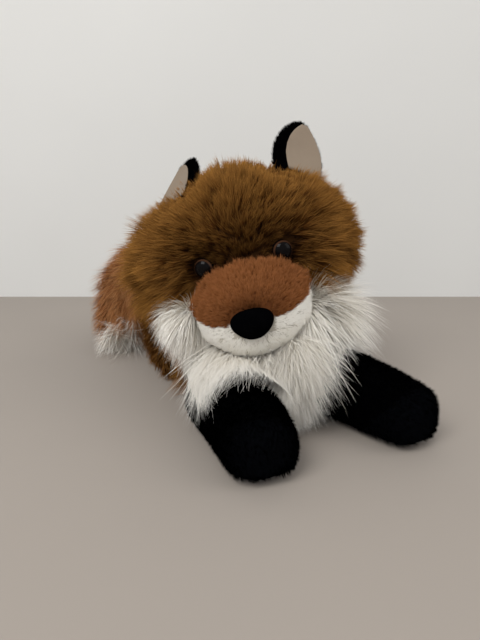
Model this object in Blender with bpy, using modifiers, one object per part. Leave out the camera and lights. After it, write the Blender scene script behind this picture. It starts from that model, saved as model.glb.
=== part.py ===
"""A plush fox that lies on its belly with its head up.

Fur covers are sewn panels over stuffing. The head, the legs, the tail and the ears
move at their seams. Lengths are metres, +Z is up, and the fox faces -Y with its
left side at +X. The origin is on the face that the belly rests on.
"""

import math

import bmesh
import bpy
import numpy as np
from mathutils import Matrix, Vector

# Fabric and clearances
LONG_PILE = 0.008
SHORT_PILE = 0.003
TAIL_PILE = 0.009
HIND_PILE = 0.005
SUEDE = 0.0012
EAR_PLUSH = 0.0034
SEAM_GAP = 0.0003
FORM_GAP = 0.0004
SOCKET_GAP = 0.0006
NECK_GAP = 0.0006
SWEEP_STEP = 0.0004
FLAT_DEPTH = 0.0005
CORE_LEAST = 0.002
CUT_OVERRUN = 0.3
MERGE_DISTANCE = 0.00001

# Body, lying: from the chest's front to the rump's end
BODY_WIDTH = 0.104
BODY_HEIGHT = 0.084
CHEST_FRONT = -0.078
RUMP_END = 0.112
CHEST_SEAM = -0.030
CHEST_SEAM_LEAN = math.radians(16)

CHIN_ROOM_HEIGHT = 0.0395
CHIN_ROOM_BACK = -0.024

# Head, measured over its fur
HEAD_WIDTH = 0.148
HEAD_DEPTH = 0.100
HEAD_HEIGHT = 0.108
HEAD_CENTRE_HEIGHT = 0.098
HEAD_TURN = math.radians(-23.5)
HEAD_NOD = math.radians(6.5)
HEAD_TILT = math.radians(-13.5)
CHEEK_SEAM_DROP = 0.023

# Neck: the head turns and nods about one point, right above the origin
NECK_PIVOT_HEIGHT = 0.091
NECK_RADIUS = 0.060
NECK_BOTTOM = 0.034
NECK_RIM_HEIGHT = 0.067
NECK_CORE_RADIUS = 0.026
NAPE_SEAM_BACK = 0.022
HEAD_SWEEP_MARGIN = 0.018
HEAD_SWEEP_SHARE = 0.97
NOD_UP = math.radians(15)

# Muzzle, nose and eyes, in the head's own frame
MUZZLE_WIDTH = 0.072
MUZZLE_HEIGHT = 0.058
MUZZLE_TIP = 0.084
MUZZLE_ROOT = 0.030
MUZZLE_DROP = 0.023
MUZZLE_SEAM_DROP = 0.023
MUZZLE_SEAM_LEAN = math.radians(8)
NOSE_WIDTH = 0.023
NOSE_HEIGHT = 0.0165
NOSE_DEPTH = 0.012
NOSE_PROUD = 0.006
NOSE_DROP = 0.0225
EYE_SPACING = 0.047
EYE_RAISE = 0.003
EYE_RADIUS = 0.006
EYE_DOME = 0.0042
EYE_BRIM = 0.0008
EYE_SINK = 0.0405
EYE_TURN = math.radians(15)
SHANK_RADIUS = 0.0015
SHANK_LENGTH = 0.0065
WASHER_RADIUS = 0.005
WASHER_THICKNESS = 0.0012
WASHER_SETBACK = 0.0034
TRIM_GAP = 0.0002

# Ears, sewn in at a rolled base that they fold on
EAR_WIDTH = 0.047
EAR_LENGTH = 0.040
EAR_ROLL_LENGTH = 0.038
EAR_ROLL_RADIUS = 0.0042
EAR_INSET_LEFT = 0.026
EAR_INSET_RIGHT = 0.032
EAR_BASE_SIDE_LEFT = HEAD_WIDTH / 2 - EAR_INSET_LEFT
EAR_BASE_SIDE_RIGHT = HEAD_WIDTH / 2 - EAR_INSET_RIGHT
EAR_BASE_HEIGHT_LEFT = 0.0360
EAR_BASE_HEIGHT_RIGHT = 0.0405
EAR_BASE_BACK = 0.006
EAR_CUP = 0.006
EAR_FACE_BORDER = 0.0035
EAR_FACE_GAP = 0.0005
EAR_BASE_SLOPE = math.radians(34)
EAR_TIP_SWAY_LEFT = 0.010
EAR_TIP_SWAY_RIGHT = 0.012
EAR_YAW = math.radians(12)
EAR_LEAN_LEFT = math.radians(30)
EAR_LEAN_RIGHT = math.radians(50)
EAR_FOLD_BACK = math.radians(15)
EAR_FOLD_FORWARD = math.radians(25)
EAR_ROOM_REACH = 0.016
EAR_ROOM_SPREAD = math.radians(14)

# Front legs
FRONT_LEG_SIDE = 0.033
FRONT_LEG_BACK = -0.048
FRONT_LEG_REACH = 0.077
FRONT_LEG_ROOT = 0.022
FRONT_LEG_WIDTH = 0.043
FRONT_LEG_HEIGHT = 0.037
FRONT_SPLAY_LEFT = math.radians(13.5)
FRONT_SPLAY_RIGHT = math.radians(6.5)
FRONT_SWING_OUT = math.radians(24)
FRONT_SWING_IN = math.radians(16)
SOLE_SEAM_REACH = 0.060
SOLE_SEAM_HEIGHT = 0.020
SOLE_SEAM_LEAN = math.radians(38)

# Hind legs, folded beside the belly
HIND_LEG_SIDE = 0.027
HIND_LEG_BACK = 0.104
HIND_LEG_INSET = 0.010
HIND_LEG_REACH = 0.098
HIND_LEG_ROOT = 0.004
HIND_LEG_WIDTH = 0.036
HIND_LEG_HEIGHT = 0.060
HIND_SPLAY = math.radians(3)
HIND_SWING_OUT = math.radians(18)
HIND_PAW_REACH = 0.072

# Tail, curled round the right haunch with its tip on the table
TAIL_SIDE = -0.004
TAIL_BACK = 0.109
TAIL_HEIGHT = 0.046
TAIL_LENGTH = 0.140
TAIL_WIDTH = 0.064
TAIL_ROOT_RADIUS = 0.0145
TAIL_SWING = math.radians(60)
TAIL_TIP_SHARE = 0.74

# Sections as shares of each form's own box. A row is (along, sideways, half width,
# bottom, top), from the form's front end to its back end.
BODY_SECTION_SHARES = (
    (0.00, 0.10, 0.40, 0.10, 0.34),
    (0.07, 0.10, 0.70, 0.02, 0.42),
    (0.22, 0.08, 0.90, 0.00, 0.50),
    (0.42, 0.04, 0.98, 0.00, 0.82),
    (0.62, 0.00, 1.00, 0.00, 1.00),
    (0.82, -0.04, 0.92, 0.00, 0.96),
    (0.95, -0.06, 0.66, 0.06, 0.80),
    (1.00, -0.06, 0.36, 0.20, 0.62),
)
FRONT_LEG_SECTION_SHARES = (
    (0.00, 0.00, 0.55, 0.12, 0.78),
    (0.07, 0.00, 0.82, 0.02, 0.92),
    (0.24, 0.00, 0.88, 0.00, 0.95),
    (0.50, 0.00, 0.90, 0.00, 0.93),
    (0.76, 0.00, 1.00, 0.00, 0.86),
    (0.93, 0.00, 0.84, 0.04, 0.78),
    (1.00, 0.00, 0.46, 0.20, 0.60),
)
HIND_LEG_SECTION_SHARES = (
    (0.00, 0.00, 0.42, 0.04, 0.24),
    (0.07, 0.00, 0.64, 0.00, 0.36),
    (0.24, 0.00, 0.74, 0.00, 0.44),
    (0.44, 0.00, 0.90, 0.00, 0.76),
    (0.66, 0.00, 1.00, 0.00, 1.00),
    (0.90, 0.00, 0.84, 0.05, 0.90),
    (1.00, 0.00, 0.46, 0.26, 0.66),
)
MUZZLE_SECTION_SHARES = (
    (0.00, 0.00, 0.40, 0.24, 0.66),
    (0.10, 0.00, 0.70, 0.10, 0.80),
    (0.36, 0.00, 0.94, 0.00, 0.92),
    (0.66, 0.00, 1.00, 0.00, 1.00),
    (1.00, 0.00, 0.82, 0.14, 0.90),
)
# The head and the nose are lofted upwards. A row is (up, forward, half width, half depth).
HEAD_SECTION_SHARES = (
    (0.00, 0.00, 0.36, 0.40),
    (0.09, 0.00, 0.66, 0.68),
    (0.30, 0.00, 0.97, 0.95),
    (0.52, 0.00, 1.00, 1.00),
    (0.74, -0.03, 0.86, 0.92),
    (0.92, -0.05, 0.54, 0.62),
    (1.00, -0.05, 0.28, 0.34),
)
NOSE_SECTION_SHARES = (
    (0.00, 0.00, 0.26, 0.46),
    (0.30, 0.00, 0.62, 0.86),
    (0.80, 0.00, 1.00, 1.00),
    (1.00, 0.00, 0.66, 0.56),
)
# One lying section: flat under the belly, widest low down
LYING_RING_SHARES = (
    (-0.36, 0.00),
    (0.36, 0.00),
    (0.88, 0.10),
    (1.00, 0.44),
    (0.80, 0.82),
    (0.32, 1.00),
    (-0.32, 1.00),
    (-0.80, 0.82),
    (-1.00, 0.44),
    (-0.88, 0.10),
)
# The tail's path as shares of its length, and its radius as a share of half its width
TAIL_PATH_SHARES = (
    (0.000, -0.079, 0.000, 0.24),
    (0.000, -0.020, 0.000, 0.45),
    (-0.010, 0.086, 0.029, 0.53),
    (-0.079, 0.214, 0.086, 0.78),
    (-0.229, 0.293, 0.143, 1.00),
    (-0.343, 0.264, 0.036, 0.92),
    (-0.421, 0.157, -0.121, 0.73),
    (-0.471, 0.043, -0.229, 0.46),
    (-0.500, -0.029, -0.268, 0.18),
)
# The turns of a hind leg on its way out, as shares of its whole swing
HIND_SWING_SHARES = (0.2, 0.4, 0.6, 0.8, 1.0)
# The neck's dish from its rim down, as shares of its radius and height
NECK_DISH_SHARES = (
    (1.00, 1.00),
    (1.00, 0.80),
    (0.90, 0.48),
    (0.74, 0.20),
    (0.54, 0.05),
    (0.36, 0.00),
)
# Half the ear's width at heights up the ear, as shares of its half width and its length
EAR_OUTLINE_SHARES = (
    (0.00, 0.90),
    (0.34, 1.00),
    (0.74, 0.62),
    (1.00, 0.14),
)
EAR_ACROSS_SHARES = (-1.0, -0.5, 0.0, 0.5, 1.0)

# Colours as linear red, green and blue
BROWN_FUR = (0.096, 0.042, 0.013)
WHITE_FUR = (0.70, 0.67, 0.60)
RUST_PLUSH = (0.165, 0.060, 0.022)
TAIL_RUST = (0.24, 0.085, 0.028)
BLACK_PLUSH = (0.006, 0.006, 0.007)
BEIGE_SUEDE = (0.36, 0.27, 0.19)
BLACK_GLOSS = (0.010, 0.007, 0.005)
FIBRE_WHITE = (0.80, 0.80, 0.78)
WASHER_WHITE = (0.75, 0.75, 0.72)
PLUSH_ROUGHNESS = 0.9
GLOSS_ROUGHNESS = 0.1
PLASTIC_ROUGHNESS = 0.5

SIDES = {"left": 1, "right": -1}
UP = Vector((0, 0, 1))


def clear_scene():
    for obj in list(bpy.data.objects):
        bpy.data.objects.remove(obj, do_unlink=True)


def new_collection(name):
    collection = bpy.data.collections.new(name)
    bpy.context.scene.collection.children.link(collection)
    return collection


def new_material(name, colour, roughness):
    material = bpy.data.materials.new(name)
    material.use_nodes = True
    shader = material.node_tree.nodes["Principled BSDF"]
    shader.inputs["Base Color"].default_value = (*colour, 1)
    shader.inputs["Roughness"].default_value = roughness
    shader.inputs["Metallic"].default_value = 0
    return material


def make_materials():
    return {
        "brown_fur": new_material("brown_fur", BROWN_FUR, PLUSH_ROUGHNESS),
        "white_fur": new_material("white_fur", WHITE_FUR, PLUSH_ROUGHNESS),
        "rust_plush": new_material("rust_plush", RUST_PLUSH, PLUSH_ROUGHNESS),
        "tail_fur": new_material("tail_fur", TAIL_RUST, PLUSH_ROUGHNESS),
        "black_plush": new_material("black_plush", BLACK_PLUSH, PLUSH_ROUGHNESS),
        "suede": new_material("suede", BEIGE_SUEDE, PLUSH_ROUGHNESS),
        "eye_plastic": new_material("eye_plastic", BLACK_GLOSS, GLOSS_ROUGHNESS),
        "washer_plastic": new_material("washer_plastic", WASHER_WHITE, PLASTIC_ROUGHNESS),
        "stuffing": new_material("stuffing", FIBRE_WHITE, PLUSH_ROUGHNESS),
    }


def frame_at(name, place, parent=None):
    """An empty that other objects are parented to."""
    empty = bpy.data.objects.new(name, None)
    frames.objects.link(empty)
    empty.parent = parent
    empty.matrix_local = place
    return empty


def place_object(name, mesh, parent, collection, place=None):
    obj = bpy.data.objects.new(name, mesh)
    collection.objects.link(obj)
    obj.parent = parent
    obj.matrix_local = place or Matrix.Identity(4)
    return obj


def as_mesh(name, shape):
    """The finished mesh of an edit mesh, shaded smooth."""
    bmesh.ops.recalc_face_normals(shape, faces=shape.faces)
    mesh = bpy.data.meshes.new(name)
    shape.to_mesh(mesh)
    shape.free()
    mesh.shade_smooth()
    return mesh


def loft_mesh(name, rings):
    """A closed cage through rings of as many points each, with a flat face at both ends."""
    shape = bmesh.new()
    rows = [[shape.verts.new(point) for point in ring] for ring in rings]
    for low, high in zip(rows, rows[1:]):
        for i, corner in enumerate(low):
            shape.faces.new((corner, low[i - 1], high[i - 1], high[i]))
    shape.faces.new(rows[0])
    shape.faces.new(rows[-1][::-1])
    return as_mesh(name, shape)


def mesh_points(mesh):
    points = np.empty(len(mesh.vertices) * 3)
    mesh.vertices.foreach_get("co", points)
    return points.reshape(-1, 3)


def fit_mesh(mesh, low, high, smooth=True):
    """Stretches a cage to fill the box from low to high, once smoothed where smooth is set."""
    probe = place_object("probe", mesh, None, cutters)
    if smooth:
        add_smoothing(probe)
    graph = bpy.context.evaluated_depsgraph_get()
    found = mesh_points(probe.evaluated_get(graph).to_mesh())
    found_low, found_high = found.min(axis=0), found.max(axis=0)
    bpy.data.objects.remove(probe)
    low, high = np.array(low), np.array(high)
    points = (mesh_points(mesh) - found_low) / (found_high - found_low) * (high - low) + low
    mesh.vertices.foreach_set("co", points.ravel())
    mesh.update()
    return mesh


def lying_rings(section_shares, low, high, inset):
    """Lying sections along Y in the box from low to high, drawn in by inset on every side."""
    rows = np.array(section_shares)
    size, middle = high - low, (low + high) / 2
    start, end = inset / size.y, 1 - inset / size.y
    inner = [along for along in rows[1:-1, 0] if start < along < end]
    rings = []
    for along in (start, *inner, end):
        sideways, half_width, bottom, top = (
            float(np.interp(along, rows[:, 0], column)) for column in rows[:, 1:].T
        )
        half = half_width * size.x / 2 - inset
        centre = middle.x + sideways * size.x / 2
        floor_side, roof_side = low.z + bottom * size.z + inset, low.z + top * size.z - inset
        if min(half, (roof_side - floor_side) / 2) > CORE_LEAST:
            rings.append([
                (
                    centre + half * across,
                    low.y + along * size.y,
                    floor_side + (roof_side - floor_side) * up,
                )
                for across, up in LYING_RING_SHARES
            ])
    return rings


def lying_forms(name, section_shares, box, pile):
    """A form that fills its box, lofted along Y, and the core that its pile leaves."""
    low, high = (Vector(corner) for corner in box)
    form = loft_mesh(name, lying_rings(section_shares, low, high, 0))
    core = loft_mesh(f"{name}_core", lying_rings(section_shares, low, high, pile))
    return fit_mesh(form, low, high), core


def round_forms(make, name, section_shares, box, pile):
    """A form that fills its box, and the same form drawn in by the pile as its core."""
    low, high = (Vector(corner) for corner in box)
    inset = Vector((pile, pile, pile))
    form = fit_mesh(make(name, section_shares), low, high)
    core = make(f"{name}_core", section_shares)
    return form, fit_mesh(core, low + inset, high - inset, smooth=False)


def round_ring(count):
    turns = [2 * math.pi * (i + 0.5) / count for i in range(count)]
    return [(math.cos(turn), math.sin(turn)) for turn in turns]


def standing_cage(name, section_shares):
    """A cage lofted upwards through round sections."""
    ring = round_ring(10)
    rings = [
        [(half_width * x, forward + half_depth * y, up) for x, y in ring]
        for up, forward, half_width, half_depth in section_shares
    ]
    return loft_mesh(name, rings)


def muzzle_cage(name, section_shares):
    """A cage lofted backwards through round sections."""
    ring = round_ring(10)
    rings = [
        [
            (half_width * x, along, (bottom + top) / 2 + (top - bottom) / 2 * z)
            for x, z in ring
        ]
        for along, _, half_width, bottom, top in section_shares
    ]
    return loft_mesh(name, rings)


def curled_form(name, path):
    """A form lofted along a curved path. Each path row is a point and a radius."""
    centres = np.array([row[:3] for row in path])
    radii = np.array([row[3] for row in path])[:, None, None]
    tangents = np.gradient(centres, axis=0)
    tangents /= np.linalg.norm(tangents, axis=1, keepdims=True)
    sideways = np.cross(tangents, np.array(UP))
    sideways /= np.linalg.norm(sideways, axis=1, keepdims=True)
    upwards = np.cross(sideways, tangents)
    ring = np.array(round_ring(10))
    spokes = ring[None, :, :1] * sideways[:, None] + ring[None, :, 1:] * upwards[:, None]
    rings = centres[:, None] + radii * spokes
    return loft_mesh(name, [[Vector(point) for point in row] for row in rings])


def add_smoothing(obj):
    smoothing = obj.modifiers.new("smoothing", "SUBSURF")
    smoothing.levels = 1
    smoothing.render_levels = 1


def add_offset(obj, depth):
    """Moves the surface out by depth, or in where depth is negative."""
    offset = obj.modifiers.new("offset", "DISPLACE")
    offset.mid_level = 0
    offset.strength = depth


def add_thickness(obj, thickness):
    """Gives a sheet its thickness, behind its face."""
    sheet = obj.modifiers.new("thickness", "SOLIDIFY")
    sheet.thickness = thickness
    sheet.offset = -1


def add_facets(obj):
    """Splits the faces into flat triangles, so that cuts through them stay flat."""
    obj.modifiers.new("facets", "TRIANGULATE")


def add_boolean(obj, operation, tool):
    boolean = obj.modifiers.new(operation.lower(), "BOOLEAN")
    boolean.operation = operation
    boolean.solver = "EXACT"
    boolean.object = tool


def cut(obj, *tools):
    for tool in tools:
        add_boolean(obj, "DIFFERENCE", tool)


def keep(obj, *tools):
    for tool in tools:
        add_boolean(obj, "INTERSECT", tool)


def cutter(name, mesh, parent=None, place=None):
    obj = place_object(name, mesh, parent, cutters, place)
    obj.hide_render = True
    obj.display_type = "WIRE"
    return obj


def form_cutter(name, mesh, parent, grow, place=None):
    """A smoothed form, grown by a clearance, that cuts its neighbours."""
    tool = cutter(name, mesh, parent, place)
    add_smoothing(tool)
    add_offset(tool, grow)
    add_facets(tool)
    return tool


def swept_cutters(name, mesh, pivot, turns, place=None, axis="Z"):
    """A form at rest and at turns of its joint, which together cut its room to move.

    Each copy is a little larger than the one before, so that no two faces coincide.
    """
    place = place or Matrix.Identity(4)
    tools = []
    for i, turn in enumerate((0, *turns)):
        turned = Matrix.Rotation(turn, 4, axis) @ place
        tools.append(form_cutter(f"{name}_{i}", mesh, pivot, SOCKET_GAP + i * SWEEP_STEP, turned))
    return tools


def half_space(name, parent, place):
    """A large box above the plane of its own origin."""
    shape = bmesh.new()
    bmesh.ops.create_cube(shape, size=CUT_OVERRUN)
    bmesh.ops.translate(shape, verts=shape.verts, vec=UP * CUT_OVERRUN / 2)
    return cutter(name, as_mesh(name, shape), parent, place)


def split_planes(name, parent, place):
    """Two half spaces that leave a seam's gap between the pieces they keep."""
    above = half_space(f"{name}_above", parent, place @ Matrix.Translation(UP * SEAM_GAP / 2))
    flip = Matrix.Translation(-UP * SEAM_GAP / 2) @ Matrix.Rotation(math.pi, 4, "X")
    return above, half_space(f"{name}_below", parent, place @ flip)


def turned_mesh(name, profile, steps=24):
    """A mesh turned about Z. The profile runs down its outer side."""
    shape = bmesh.new()
    corners = [shape.verts.new((radius, 0, height)) for radius, height in profile]
    for pair in zip(corners, corners[1:]):
        shape.edges.new(pair)
    mesh = bpy.data.meshes.new(f"{name}_profile")
    shape.to_mesh(mesh)
    shape.free()
    raw = place_object(f"{name}_profile", mesh, None, cutters)
    screw = raw.modifiers.new("turn", "SCREW")
    screw.steps = steps
    screw.render_steps = steps
    screw.use_merge_vertices = True
    screw.merge_threshold = MERGE_DISTANCE
    graph = bpy.context.evaluated_depsgraph_get()
    turned = bpy.data.meshes.new_from_object(raw.evaluated_get(graph))
    turned.name = name
    bpy.data.objects.remove(raw)
    bpy.data.meshes.remove(mesh)
    turned.shade_smooth()
    return turned


def ball_mesh(name, size):
    """A ball stretched to a size along each axis."""
    shape = bmesh.new()
    bmesh.ops.create_uvsphere(shape, u_segments=20, v_segments=12, radius=1)
    bmesh.ops.scale(shape, verts=shape.verts, vec=Vector(size) / 2)
    return as_mesh(name, shape)


def solid(name, mesh, parent, colour, place=None):
    """A part of the fox, with its own copy of the mesh and its material."""
    obj = place_object(name, mesh.copy(), parent, parts, place)
    obj.data.name = name
    obj.data.materials.append(materials[colour])
    return obj


def cover(name, form, parent, colour):
    """A panel of a fur cover: the smoothed form less its core."""
    obj = solid(name, forms[form], parent, colour)
    add_smoothing(obj)
    add_facets(obj)
    hollow = cutter(f"{name}_hollow", forms[f"{form}_core"], parent)
    add_facets(hollow)
    cut(obj, hollow)
    return obj


def stuffing(name, form, parent):
    """The filling of a form, inside its cover."""
    obj = solid(name, forms[f"{form}_core"], parent, "stuffing")
    add_offset(obj, -SEAM_GAP)
    add_facets(obj)
    return obj


def turn_about_z(turn):
    return Matrix.Rotation(turn, 4, "Z")


def centred_box(width, depth, height):
    half = Vector((width, depth, height)) / 2
    return -half, half


def lying_box(width, front, back, height):
    return (-width / 2, front, -FLAT_DEPTH), (width / 2, back, height)


def muzzle_box():
    bottom = -MUZZLE_DROP - MUZZLE_HEIGHT / 2
    top = bottom + MUZZLE_HEIGHT
    return (-MUZZLE_WIDTH / 2, -MUZZLE_TIP, bottom), (MUZZLE_WIDTH / 2, -MUZZLE_ROOT, top)


def nose_box():
    front = -MUZZLE_TIP - NOSE_PROUD
    bottom = -NOSE_DROP - NOSE_HEIGHT / 2
    high = (NOSE_WIDTH / 2, front + NOSE_DEPTH, bottom + NOSE_HEIGHT)
    return (-NOSE_WIDTH / 2, front, bottom), high


def tail_path(pile):
    """The tail's path and radii in its own frame, drawn in by the pile for its core."""
    radii = [radius * TAIL_WIDTH / 2 - pile for *_, radius in TAIL_PATH_SHARES]
    return [
        (x * TAIL_LENGTH, y * TAIL_LENGTH, TAIL_HEIGHT + z * TAIL_LENGTH, radius)
        for (x, y, z, _), radius in zip(TAIL_PATH_SHARES, radii)
        if radius > CORE_LEAST
    ]


def make_forms():
    """The meshes of every form and core, in the frames of their pieces."""
    front_box = lying_box(FRONT_LEG_WIDTH, -FRONT_LEG_REACH, FRONT_LEG_ROOT, FRONT_LEG_HEIGHT)
    hind_box = lying_box(HIND_LEG_WIDTH, -HIND_LEG_REACH, HIND_LEG_ROOT, HIND_LEG_HEIGHT)
    body_box = lying_box(BODY_WIDTH, CHEST_FRONT, RUMP_END, BODY_HEIGHT)
    head_box = centred_box(HEAD_WIDTH, HEAD_DEPTH, HEAD_HEIGHT)
    found = {}
    for name, shares, box, pile in (
        ("body", BODY_SECTION_SHARES, body_box, LONG_PILE),
        ("front_leg", FRONT_LEG_SECTION_SHARES, front_box, SHORT_PILE),
        ("hind_leg", HIND_LEG_SECTION_SHARES, hind_box, HIND_PILE),
    ):
        found[name], found[f"{name}_core"] = lying_forms(name, shares, box, pile)
    for name, make, shares, box, pile in (
        ("head", standing_cage, HEAD_SECTION_SHARES, head_box, LONG_PILE),
        ("muzzle", muzzle_cage, MUZZLE_SECTION_SHARES, muzzle_box(), SHORT_PILE),
    ):
        found[name], found[f"{name}_core"] = round_forms(make, name, shares, box, pile)
    found["nose"] = fit_mesh(standing_cage("nose", NOSE_SECTION_SHARES), *nose_box())
    found["tail"] = curled_form("tail", tail_path(0))
    found["tail_core"] = curled_form("tail_core", tail_path(TAIL_PILE))
    return found


def make_frames():
    """The joints' frames: moving pieces are parented to the one that they turn with."""
    neck = frame_at("neck_pivot", Matrix.Translation(UP * NECK_PIVOT_HEIGHT))
    turn = turn_about_z(HEAD_TURN)
    nod = Matrix.Rotation(HEAD_NOD, 4, "X")
    tilt = Matrix.Rotation(HEAD_TILT, 4, "Y")
    rise = Matrix.Translation(UP * (HEAD_CENTRE_HEIGHT - NECK_PIVOT_HEIGHT))
    found = {
        "neck": neck,
        "nod": frame_at("nod_pivot", turn, neck),
        "head": frame_at("head_frame", turn @ nod @ tilt @ rise, neck),
        "tail": frame_at("tail_pivot", Matrix.Translation((TAIL_SIDE, TAIL_BACK, 0))),
    }
    front_splays = {"left": FRONT_SPLAY_LEFT, "right": -FRONT_SPLAY_RIGHT}
    for side, sign in SIDES.items():
        shoulder = Matrix.Translation((sign * FRONT_LEG_SIDE, FRONT_LEG_BACK, 0))
        shoulder = shoulder @ turn_about_z(front_splays[side])
        found[f"front_leg_{side}"] = frame_at(f"shoulder_{side}", shoulder)
        hip = Matrix.Translation((sign * HIND_LEG_SIDE, HIND_LEG_BACK, 0))
        hip = frame_at(f"hip_{side}", hip @ turn_about_z(sign * HIND_SPLAY))
        inset = Matrix.Translation((sign * HIND_LEG_INSET, 0, 0))
        found[f"hind_leg_{side}"] = frame_at(f"haunch_{side}", inset, hip)
    return found


def neck_profile(gap):
    """The neck's outer side, grown by gap: a dish that the body holds, down to its middle."""
    radius = NECK_RADIUS + gap
    height = NECK_RIM_HEIGHT - NECK_BOTTOM
    base = NECK_BOTTOM - gap
    side = [(radius * out, base + height * up) for out, up in NECK_DISH_SHARES]
    return [(0, NECK_RIM_HEIGHT), *side, (0, base)]


def neck_seat_profile():
    """The room for the neck in the body: the same dish, open at the top."""
    top = NECK_RIM_HEIGHT + HEAD_HEIGHT
    rim = NECK_RADIUS + NECK_GAP
    return [(0, top), (rim, top), *neck_profile(NECK_GAP)[1:]]


def bar_profile(radius, top):
    """A round bar about Z, from the floor up."""
    return [(0, top), (radius, top), (radius, 0), (0, 0)]


def legs_room():
    """The cutters of each leg's room to swing in the body."""
    rooms = []
    for side, sign in SIDES.items():
        name = f"front_leg_room_{side}"
        turns = (sign * FRONT_SWING_OUT, -sign * FRONT_SWING_IN)
        rooms += swept_cutters(name, forms["front_leg"], frames_of[f"front_leg_{side}"], turns)
        name = f"hind_leg_room_{side}"
        haunch = frames_of[f"hind_leg_{side}"]
        turns = [sign * HIND_SWING_OUT * share for share in HIND_SWING_SHARES]
        rooms += swept_cutters(name, forms["hind_leg"], haunch.parent, turns, haunch.matrix_local)
    return rooms


def tail_room():
    """The cutters of the tail's room: a ball seat for its root, and the tail itself."""
    size = [2 * (TAIL_ROOT_RADIUS + SOCKET_GAP)] * 3
    place = Matrix.Translation((0, 0, TAIL_HEIGHT))
    ball = cutter("tail_root_room", ball_mesh("tail_root_room", size), frames_of["tail"], place)
    swept = swept_cutters("tail_room", forms["tail"], frames_of["tail"], [-TAIL_SWING])
    return [ball, *swept]


def body_room():
    """The cutters of the neck's seat and of the room that the head and chin sweep."""
    seat = cutter("neck_seat", turned_mesh("neck_seat", neck_seat_profile(), 32))
    width = HEAD_WIDTH + HEAD_SWEEP_MARGIN
    sweep_size = (width, width * HEAD_SWEEP_SHARE, HEAD_HEIGHT + HEAD_SWEEP_MARGIN)
    place = Matrix.Translation(UP * HEAD_CENTRE_HEIGHT)
    sweep = cutter("head_sweep", ball_mesh("head_sweep", sweep_size), None, place)
    front = CHIN_ROOM_BACK - CUT_OVERRUN / 2
    chin = half_space("chin_room", None, Matrix.Translation((0, front, CHIN_ROOM_HEIGHT)))
    return [seat, sweep, chin]


def make_body():
    """The back and flanks, the chest panel in front of its seam, and their stuffing."""
    lean = Matrix.Rotation(math.pi / 2 + CHEST_SEAM_LEAN, 4, "X")
    front, back = split_planes("chest_seam", None, Matrix.Translation((0, CHEST_SEAM, 0)) @ lean)
    rooms = body_room() + legs_room()
    tail_rooms = tail_room()
    shell = cover("body_cover", "body", None, "brown_fur")
    keep(shell, back)
    cut(shell, floor, *rooms, *tail_rooms)
    chest = cover("chest_panel", "body", None, "white_fur")
    keep(chest, front)
    cut(chest, floor, *rooms)
    filling = stuffing("body_stuffing", "body", None)
    cut(filling, *rooms, *tail_rooms)


def head_room():
    """The cutters of the head as it nods over the neck, and of the muzzle at rest."""
    place = frames_of["nod"].matrix_local.inverted() @ frames_of["head"].matrix_local
    swept = swept_cutters("head_room", forms["head"], frames_of["nod"], [-NOD_UP], place, "X")
    return [*swept, form_cutter("muzzle_room", forms["muzzle"], frames_of["head"], FORM_GAP)]


def make_neck():
    """The white ruff in front, the nape behind, and the wad between body and head."""
    neck = frames_of["neck"]
    down = Matrix.Translation(-UP * NECK_PIVOT_HEIGHT)
    dish = turned_mesh("neck_dish", neck_profile(0), 32)
    top = NECK_RIM_HEIGHT + NECK_RADIUS
    core = turned_mesh("neck_core", bar_profile(NECK_CORE_RADIUS, top))
    bore = turned_mesh("neck_bore", bar_profile(NECK_CORE_RADIUS + SEAM_GAP, top))
    inner, outer = cutter("neck_core", core, neck, down), cutter("neck_bore", bore, neck, down)
    seam = turn_about_z(HEAD_TURN) @ Matrix.Translation((0, NAPE_SEAM_BACK, 0))
    seam = seam @ Matrix.Rotation(-math.pi / 2, 4, "X")
    behind, before = split_planes("nape_seam", neck, seam)
    rooms = head_room()
    for name, colour, half in (
        ("neck_ruff", "white_fur", before),
        ("nape_panel", "brown_fur", behind),
    ):
        ring = solid(name, dish, neck, colour, down)
        keep(ring, half)
        cut(ring, outer, *rooms)
    wad = solid("neck_stuffing", dish, neck, "stuffing", down)
    keep(wad, inner)
    cut(wad, *rooms)


def make_head(tools):
    """The crown's cover, the white lower cheeks below its seam, and the filling."""
    head = frames_of["head"]
    seam = Matrix.Translation((0, 0, -CHEEK_SEAM_DROP))
    above, below = split_planes("cheek_seam", head, seam)
    crown = cover("head_cover", "head", head, "brown_fur")
    keep(crown, above)
    cut(crown, *tools)
    keep(cover("cheek_ruff", "head", head, "white_fur"), below)
    cut(stuffing("head_stuffing", "head", head), *tools)


def make_muzzle():
    """The rust top and the white chin, parted by a seam under the nose, and the filling."""
    head = frames_of["head"]
    behind = form_cutter("muzzle_back", forms["head"], head, FORM_GAP)
    pocket = form_cutter("nose_pocket", forms["nose"], head, FORM_GAP)
    seam = Matrix.Translation((0, -MUZZLE_TIP, -MUZZLE_SEAM_DROP))
    seam = seam @ Matrix.Rotation(MUZZLE_SEAM_LEAN, 4, "X")
    above, below = split_planes("muzzle_seam", head, seam)
    add_smoothing(solid("nose", forms["nose"], head, "black_plush"))
    for name, colour, half in (
        ("muzzle_top", "rust_plush", above),
        ("muzzle_chin", "white_fur", below),
    ):
        panel = cover(name, "muzzle", head, colour)
        keep(panel, half)
        cut(panel, behind, pocket)
    cut(stuffing("muzzle_stuffing", "muzzle", head), behind, pocket)


def eye_profile():
    """A domed button on a shank, with a flat back. Its front is at +Z."""
    steps = [math.pi / 2 * i / 4 for i in range(5)]
    dome = [(EYE_RADIUS * math.sin(a), EYE_BRIM + EYE_DOME * math.cos(a)) for a in steps]
    shank = [(EYE_RADIUS, 0), (SHANK_RADIUS, 0), (SHANK_RADIUS, -SHANK_LENGTH)]
    return [(0, EYE_BRIM + EYE_DOME), *dome[1:], *shank, (0, -SHANK_LENGTH)]


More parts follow.
